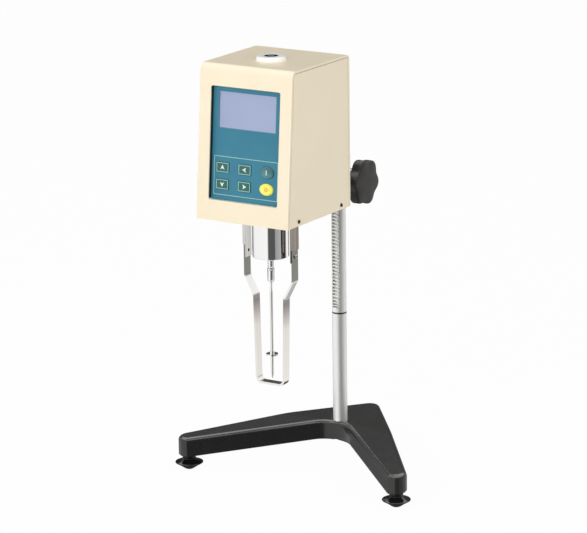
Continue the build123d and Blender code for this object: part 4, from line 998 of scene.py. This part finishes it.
@dataclass
class FrontPanel:
    """Prints, key marks and shade strips of the leaning front panel; the shade strips are black blocks inside
    the window's side walls, painted shade in the gap beside the film.
    """

    mint: Material
    white: Material
    orange: Material
    run_finish: Material
    reset_finish: Material
    shade_strip: Material
    cap_round: float = 0.55 * MM
    cap_setback: float = 0.6 * MM
    print_height: float = 0.12 * MM
    box_half: float = 37.2 * MM
    box_low: float = 25.8 * MM
    box_high: float = 64.6 * MM
    box_line: float = 0.62 * MM
    key_line: float = 0.62 * MM
    mark_line: float = 0.8 * MM
    mark_radius: float = 1.0 * MM
    arrow_long: float = 2.6 * MM
    arrow_half: float = 2.4 * MM
    # black strips inside the window's side walls: painted shade in the gap beside the film
    shade_strip_wall: float = 0.35 * MM
    shade_strip_front: float = 1.2 * MM
    recess: float = 4.8 * MM
    half_width: float = 40.2 * MM       # the window in the head's front, from its centre line
    low: float = 20.8 * MM              # its lower edge along the leaning face
    top_margin: float = 20.6 * MM       # its upper edge below the head's top
    film_thickness: float = 1.2 * MM

    def __post_init__(self) -> None:
        """Find the leaning plane of the head's front face."""
        low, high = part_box("head_wrap")
        panel_low, panel_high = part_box("membrane_panel")
        lean = atan2(panel_high.y - panel_low.y - self.film_thickness, panel_high.z - panel_low.z)
        self.plane = facing(Vector((0.0, low.y, low.z)), (0, -cos(lean), sin(lean)), (1, 0, 0))
        self.high = high.z - low.z - self.top_margin

    def key_face(self, node: str) -> tuple[Matrix, float, float]:
        """The plane of one key's top.

        Args:
            node: The key's CAD node.

        Returns:
            The plane at the key's centre, and the key's width and height.
        """
        inverse = self.plane.inverted()
        corners = [inverse @ vert.co for vert in frame["nodes"][node].data.vertices]
        top = max(corner.z for corner in corners)
        face = [corner for corner in corners if corner.z > top - 0.6 * MM]
        xs, ys = [corner.x for corner in face], [corner.y for corner in face]
        centre = Vector(((min(xs) + max(xs)) / 2, (min(ys) + max(ys)) / 2, top))
        return self.plane @ Matrix.Translation(centre), max(xs) - min(xs), max(ys) - min(ys)

    def arrow_key(self, node: str, body: str, arrow: Arrow) -> None:
        """Print the border and the arrow of one key.

        Args:
            node: The key's CAD node.
            body: Its body.
            arrow: Which way the arrow points.
        """
        plane, width, tall = self.key_face(node)
        shape = bmesh.new()
        rim(shape, width - 0.9 * MM, tall - 0.9 * MM, self.key_line, plane, self.print_height)
        border = settle(shape, f"{body}_border", self.mint, body)
        turn = plane @ Matrix.Rotation(radians(arrow.value), 4, "Z")
        half, long = self.arrow_half, self.arrow_long
        shape = bmesh.new()
        slab(shape, [(0, long), (-half, -long * 0.75), (0, -long * 0.3), (half, -long * 0.75)], turn,
             self.print_height * 1.5)
        mark = settle(shape, f"{body}_arrow", self.white, body)

    def cap(self, node: str, body: str, finish: Material) -> float:
        """Crown a round key with a low cap that has a rounded edge.

        Args:
            node: The key's CAD node.
            body: Its body.
            finish: The cap's finish.

        Returns:
            The cap's height.
        """
        plane, width, tall = self.key_face(node)
        height = self.cap_round + self.print_height
        crown = arc((width / 2 - self.cap_setback - self.cap_round, 0), self.cap_round, 0, 80, 8)
        shape = bmesh.new()
        turned(shape, [(0, 0), *crown, (width / 4, height - 0.03 * MM), (0, height)], plane, 48)
        bmesh.ops.scale(shape, vec=(1, tall / width, 1), verts=shape.verts, space=plane.inverted())
        settle(shape, f"{body}_cap", finish, body, 60.0)
        return height

    def build(self) -> None:
        """Add every print, and the black strips of painted shade in the window's side walls."""
        film = self.plane @ Matrix.Translation((0, 0, -self.recess))
        shape = bmesh.new()
        middle = film @ Matrix.Translation((0, (self.box_low + self.box_high) / 2, 0))
        rim(shape, 2 * self.box_half, self.box_high - self.box_low, self.box_line, middle,
            self.print_height)
        settle(shape, "key_field_line", self.mint, "head")
        for node, arrow in (("key_up", Arrow.UP), ("key_left", Arrow.LEFT), ("key_down", Arrow.DOWN),
                            ("key_right", Arrow.RIGHT)):
            self.arrow_key(node, node.replace("key_", "") + "_key", arrow)
        plane, _, tall = self.key_face("key_run")
        crown = self.cap("key_run", "run_key", self.run_finish)
        shape = bmesh.new()
        block(shape, (self.mark_line, tall * 0.42, 4 * self.print_height),
              plane @ Matrix.Translation((0, 0, crown)))
        settle(shape, "run_mark", self.white, "run_key")
        plane, _, _ = self.key_face("key_reset")
        crown = self.cap("key_reset", "reset_key", self.reset_finish) - 2 * self.print_height
        top = crown + 3 * self.print_height
        shape = bmesh.new()
        outer = self.mark_radius + self.mark_line
        turned(shape, [(self.mark_radius, crown), (self.mark_radius, top), (outer, top), (outer, crown)],
               plane, 40)
        settle(shape, "reset_mark", self.orange, "reset_key")
        # Black strips in the window's side walls stand for the shade in the gap beside the film: painted
        # shade.
        for side in Side:
            shape = bmesh.new()
            deep = self.recess - self.shade_strip_front
            centre = self.plane @ Matrix.Translation((
                side.value * (self.half_width - self.shade_strip_wall / 2), (self.low + self.high) / 2,
                -self.shade_strip_front - deep / 2))
            block(shape, (self.shade_strip_wall, self.high - self.low - 0.6 * MM, deep - 0.02 * MM), centre)
            settle(shape, f"panel_shade_strip_{side.name.lower()}", self.shade_strip, "head")


# ---------------------------------------------------------------- head trim
@dataclass
class HeadTrim:
    """Black strips behind the seams beside the wrap, painted shade that darkens the seam lines, and the small
    screws of cover and guard.
    """

    seam_shade_finish: Material
    dark_screw: Material
    bright_screw: Material
    seam_strip_wall: float = 0.5 * MM
    seam_strip_growth: float = 0.55 * MM
    seam_strip_sunk: float = 0.35 * MM
    seam_strip_foot: float = 9.5 * MM         # the strip's lower end above the side panel's
    corner_radius: float = 5.2 * MM
    head_radius: float = 1.9 * MM
    head_height: float = 1.0 * MM
    bolt_radius: float = 2.5 * MM
    bolt_height: float = 1.7 * MM

    def lay_seam_shade(self, side: Side) -> None:
        """Lay a black strip behind the seam of one side panel, as painted shade in the seam line.

        Args:
            side: Which side.
        """
        low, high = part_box(f"side_panel_{side.name.lower()}")
        panel = frame["nodes"][f"side_panel_{side.name.lower()}"].data
        top_front = min(vert.co.y for vert in panel.vertices if vert.co.z > high.z - 12 * MM)
        inner_x = low.x if side is Side.RIGHT else high.x
        wall = self.seam_strip_wall + high.x - low.x - self.seam_strip_sunk
        grow = self.seam_strip_growth
        place = facing(Vector((inner_x - side.value * self.seam_strip_wall, 0, 0)), (side.value, 0, 0),
                       (0, side.value, 0))
        foot = low.z + self.seam_strip_foot
        outline = [(low.y - grow, foot), (top_front - grow, high.z + grow),
                   (high.y + grow, high.z + grow), (high.y + grow, foot)]
        shape = bmesh.new()
        slab(shape, [(side.value * y, z) for y, z in outline], place, wall)
        corners = [edge for edge in shape.edges
                   if abs(edge.verts[0].co.x - edge.verts[1].co.x) > 0.1 * MM
                   and max(edge.verts[0].co.z, edge.verts[1].co.z) > high.z - 1 * MM]
        bmesh.ops.bevel(shape, geom=corners, offset=self.corner_radius, segments=8, profile=0.5,
                        affect="EDGES", material=-1)
        # A black strip in the seam gap: painted shade that darkens the seam line.
        settle(shape, f"seam_painted_shade_{side.name.lower()}", self.seam_shade_finish, "head")

    def screw(self, shape: Shape, place: Matrix, radius: float, height: float) -> None:
        """Add one pan-head screw with a cross slot of four small wells.

        Args:
            shape: The shape that gets the screw.
            place: Its seat, Z outwards.
            radius: Radius of the head.
            height: Height of the head.
        """
        recess, deep = radius * 0.5, height * 0.55
        turned(shape, [(radius, 0), *arc((radius * 0.62, height * 0.35), radius * 0.38, 0, 70, 5),
                       (recess, height), (recess * 0.55, height - deep), (0, height - deep)], place, 32)
        for turn in range(4):
            wing = place @ Matrix.Rotation(radians(45 + 90 * turn), 4, "Z") @ Matrix.Translation(
                (recess * 0.62, 0, height - deep / 2))
            block(shape, (recess * 0.5, recess * 0.5, deep * 0.9), wing)

    def build(self) -> None:
        """Add the seam shade strips and the screws."""
        for side in Side:
            self.lay_seam_shade(side)
        shape = bmesh.new()
        for solid in split_places("cover_screws"):
            side = 1 if solid.x > 0 else -1
            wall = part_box("head_wrap")[1].x
            seat = facing(Vector((side * wall, solid.y, solid.z)), (side, 0, 0), (0, 1, 0))
            self.screw(shape, seat, self.head_radius, self.head_height)
        screws = settle(shape, "case_screws", self.dark_screw, "head", 40.0)
        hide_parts("cover_screws")
        shape = bmesh.new()
        low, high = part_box("guard_screws")
        for side in Side:
            wall = side.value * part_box("guard")[1].x
            seat = facing(Vector((wall, (low.y + high.y) / 2, (low.z + high.z) / 2)), (side.value, 0, 0),
                          (0, 1, 0))
            self.screw(shape, seat, self.bolt_radius, self.bolt_height)
        screws = settle(shape, "guard_bolts", self.bright_screw, "head", 40.0)
        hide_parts("guard_screws")


def split_places(node: str) -> list[Vector]:
    """Centres of the loose parts of a CAD node.

    Args:
        node: The node's name.

    Returns:
        One centre for each loose part.
    """
    shape = bmesh.new()
    shape.from_mesh(frame["nodes"][node].data)
    bmesh.ops.remove_doubles(shape, verts=shape.verts, dist=0.001 * MM)
    left, centres = set(shape.verts), []
    while left:
        group, front = set(), {left.pop()}
        while front:
            vert = front.pop()
            group.add(vert)
            front |= {edge.other_vert(vert) for edge in vert.link_edges} - group
        left -= group
        lows = [min(vert.co[axis] for vert in group) for axis in range(3)]
        highs = [max(vert.co[axis] for vert in group) for axis in range(3)]
        centres.append(Vector([(a + b) / 2 for a, b in zip(lows, highs)]))
    shape.free()
    return centres


# ---------------------------------------------------------------- studio
@dataclass
class Studio:
    """Floor, soft lights, surroundings and camera."""

    camera_place: Triple = (1.71615, -2.77003, 1.06675)
    azimuth: float = 32.0826
    elevation: float = 14.5013
    roll: float = -0.7212
    focal_pixels: float = 3301.08
    frame_pixels: float = 587.0
    sensor: float = 36.0
    floor_half: float = 4.0
    floor_white: float = 0.97
    cards: tuple[tuple[float, float], ...] = (
        (-180, 0.95), (-78, 1.0), (-72, 0.10), (-32, 0.09), (-27, 0.34), (2, 0.43), (17, 0.54), (27, 1.0),
        (40, 1.0), (44, 0.22), (52, 0.22), (56, 1.0), (80, 1.0), (86, 0.28), (98, 0.28), (108, 0.08),
        (150, 0.08), (180, 0.95))
    ceiling_level: float = 3.4
    ceiling_edge: tuple[float, float] = (0.56, 0.74)     # rise of a ray where the ceiling card starts
    ambient: float = 0.46
    aim_height: float = 0.25
    lamps: tuple[tuple[str, Triple, float, float], ...] = (
        ("key_light", (0.2, -3.0, 1.7), 1.6, 44.0), ("side_light", (3.0, -0.6, 1.3), 1.6, 26.0),
        ("left_light", (-2.6, -1.6, 1.8), 1.4, 16.0))    # name, place, side in metres, watts

    def place_camera(self) -> None:
        """Set the camera by its azimuth, elevation and roll."""
        a, e, r = radians(self.azimuth), radians(self.elevation), radians(self.roll)
        forward = Vector((-sin(a) * cos(e), cos(a) * cos(e), -sin(e)))
        level = Vector((cos(a), sin(a), 0.0))
        overhead = level.cross(forward)
        right = cos(r) * level + sin(r) * overhead
        up = cos(r) * overhead - sin(r) * level
        lens = bpy.data.cameras.new("camera")
        lens.sensor_width = self.sensor
        lens.lens = self.focal_pixels * self.sensor / self.frame_pixels
        lens.clip_end = 50.0
        camera = bpy.data.objects.new("camera", lens)
        turn = Matrix((right, up, -forward)).transposed().to_4x4()
        camera.matrix_world = Matrix.Translation(self.camera_place) @ turn
        bpy.context.scene.collection.objects.link(camera)
        bpy.context.scene.camera = camera

    def card_shades(self, tree: Tree,
                    direction: Socket) -> Socket:
        """Grey level of the cards around the studio, by the compass direction of a reflected ray.

        Args:
            tree: The node tree that gets the nodes.
            direction: The ray's direction.

        Returns:
            The colour socket.
        """
        parts = add_node(tree, "SeparateXYZ", {0: direction})
        turn = maths(tree, "ARCTAN2", parts.outputs["Y"], parts.outputs["X"])
        share = add_node(tree, "MapRange", {"Value": turn, "From Min": -pi, "From Max": pi})
        shades = add_node(tree, "ValToRGB", {0: share.outputs[0]})
        fill_ramp(shades.color_ramp, [((compass + 180) / 360, (level, level, level, 1))
                                      for compass, level in self.cards])
        return shades.outputs[0]

    def lay_floor(self) -> None:
        """Lay a pale floor that keeps the soft shadow of the instrument."""
        shape = bmesh.new()
        bmesh.ops.create_grid(shape, x_segments=2, y_segments=2, size=self.floor_half)
        mesh = bpy.data.meshes.new("floor")
        shape.to_mesh(mesh)
        shape.free()
        floor = bpy.data.objects.new("floor", mesh)
        bpy.context.scene.collection.objects.link(floor)
        material = bpy.data.materials.new("floor_paper")
        material.use_nodes = True
        tree = material.node_tree
        tree.nodes.clear()
        paper = add_node(tree, "BsdfDiffuse", {"Color": (0.85, 0.85, 0.85, 1)})
        white = add_node(tree, "Emission", {"Color": (1, 1, 1, 1), "Strength": 1.0})
        place = add_node(tree, "NewGeometry")
        away = add_node(tree, "VectorMath", {0: place.outputs["Incoming"], 1: (-1, -1, -1)},
                        operation="MULTIPLY")
        cards = add_node(tree, "Emission", {"Color": self.card_shades(tree, away.outputs[0]),
                                            "Strength": 1.0})
        path = add_node(tree, "LightPath").outputs
        seen = maths(tree, "MAXIMUM", path["Is Camera Ray"], path["Is Transmission Ray"])
        share = maths(tree, "MULTIPLY", seen, self.floor_white)
        bright = add_node(tree, "MixShader", {0: share, 1: paper.outputs[0], 2: white.outputs[0]})
        both = add_node(tree, "MixShader", {0: path["Is Glossy Ray"], 1: bright.outputs[0],
                                            2: cards.outputs[0]})
        output = add_node(tree, "OutputMaterial")
        tree.links.new(both.outputs[0], output.inputs["Surface"])
        mesh.materials.append(material)

    def light_room(self) -> None:
        """Soft surroundings: plain white to the camera, gently shaded in the reflections."""
        world = bpy.data.worlds.new("studio")
        bpy.context.scene.world = world
        world.use_nodes = True
        tree = world.node_tree
        tree.nodes.clear()
        way = add_node(tree, "TexCoord")
        path = add_node(tree, "LightPath").outputs
        ambient = add_node(tree, "Background", {"Color": (1, 1, 1, 1), "Strength": self.ambient})
        rise = add_node(tree, "SeparateXYZ", {0: way.outputs["Generated"]})
        height = add_node(tree, "MapRange", {"Value": rise.outputs["Z"], "From Min": self.ceiling_edge[0],
                                             "From Max": self.ceiling_edge[1]})
        ceiling = (self.ceiling_level,) * 3 + (1,)
        mirrored = mix_colours(tree, height.outputs[0], self.card_shades(tree, way.outputs["Generated"]),
                               ceiling)
        cards = add_node(tree, "Background", {"Color": mirrored, "Strength": 1.0})
        white = add_node(tree, "Background", {"Color": (1, 1, 1, 1), "Strength": 1.0})
        mirror = add_node(tree, "MixShader", {0: path["Is Glossy Ray"], 1: ambient.outputs[0],
                                              2: cards.outputs[0]})
        seen = maths(tree, "MAXIMUM", path["Is Camera Ray"], path["Is Transmission Ray"])
        both = add_node(tree, "MixShader", {0: seen, 1: mirror.outputs[0], 2: white.outputs[0]})
        output = add_node(tree, "OutputWorld")
        tree.links.new(both.outputs[0], output.inputs["Surface"])

    def hang_light(self, name: str, place: Triple, size: float,
                   power: float) -> None:
        """Hang one soft square light that looks at the instrument and shows in no reflection.

        Args:
            name: The light's name.
            place: Where it hangs, in metres.
            size: Side of its square.
            power: Power in watts.
        """
        lamp = bpy.data.lights.new(name, "AREA")
        lamp.shape = "SQUARE"
        lamp.size = size
        lamp.energy = power
        holder = bpy.data.objects.new(name, lamp)
        holder.visible_glossy = False
        aim = Vector((0, 0, self.aim_height)) - Vector(place)
        turn = aim.to_track_quat("-Z", "Y").to_matrix().to_4x4()
        holder.matrix_world = Matrix.Translation(place) @ turn
        bpy.context.scene.collection.objects.link(holder)

    def build(self) -> None:
        """Set up the whole studio."""
        self.place_camera()
        self.lay_floor()
        self.light_room()
        for lamp in self.lamps:
            self.hang_light(*lamp)
        bpy.context.scene.view_settings.view_transform = "Standard"
        LOG.info("studio ready")


def main() -> None:
    """Dress the frame, add the fine pieces and set up the studio."""
    logging.basicConfig(level=logging.INFO, format="%(name)s: %(message)s")
    finishes = Finishes()
    finishes.dress_frame()
    slots = finishes.by_slot
    LiftKnob(slots["knob_black"]).build()
    RackRod(finishes.satin_steel, finishes.satin_steel).build()
    LevellingFeet(slots["black_gloss"], slots["steel"]).build()
    SpindleCoupling(slots["polished_steel"], slots["polished_steel"]).build()
    BubbleLevel(finishes.liquid, finishes.white_print, finishes.bubble).build()
    FrontPanel(finishes.mint_print, finishes.white_print, finishes.orange_print, slots["key_dark"],
               slots["key_yellow"], slots["black_plastic"]).build()
    HeadTrim(slots["black_plastic"], finishes.dark_steel, slots["steel"]).build()
    Studio().build()


if __name__ == "__main__":
    main()
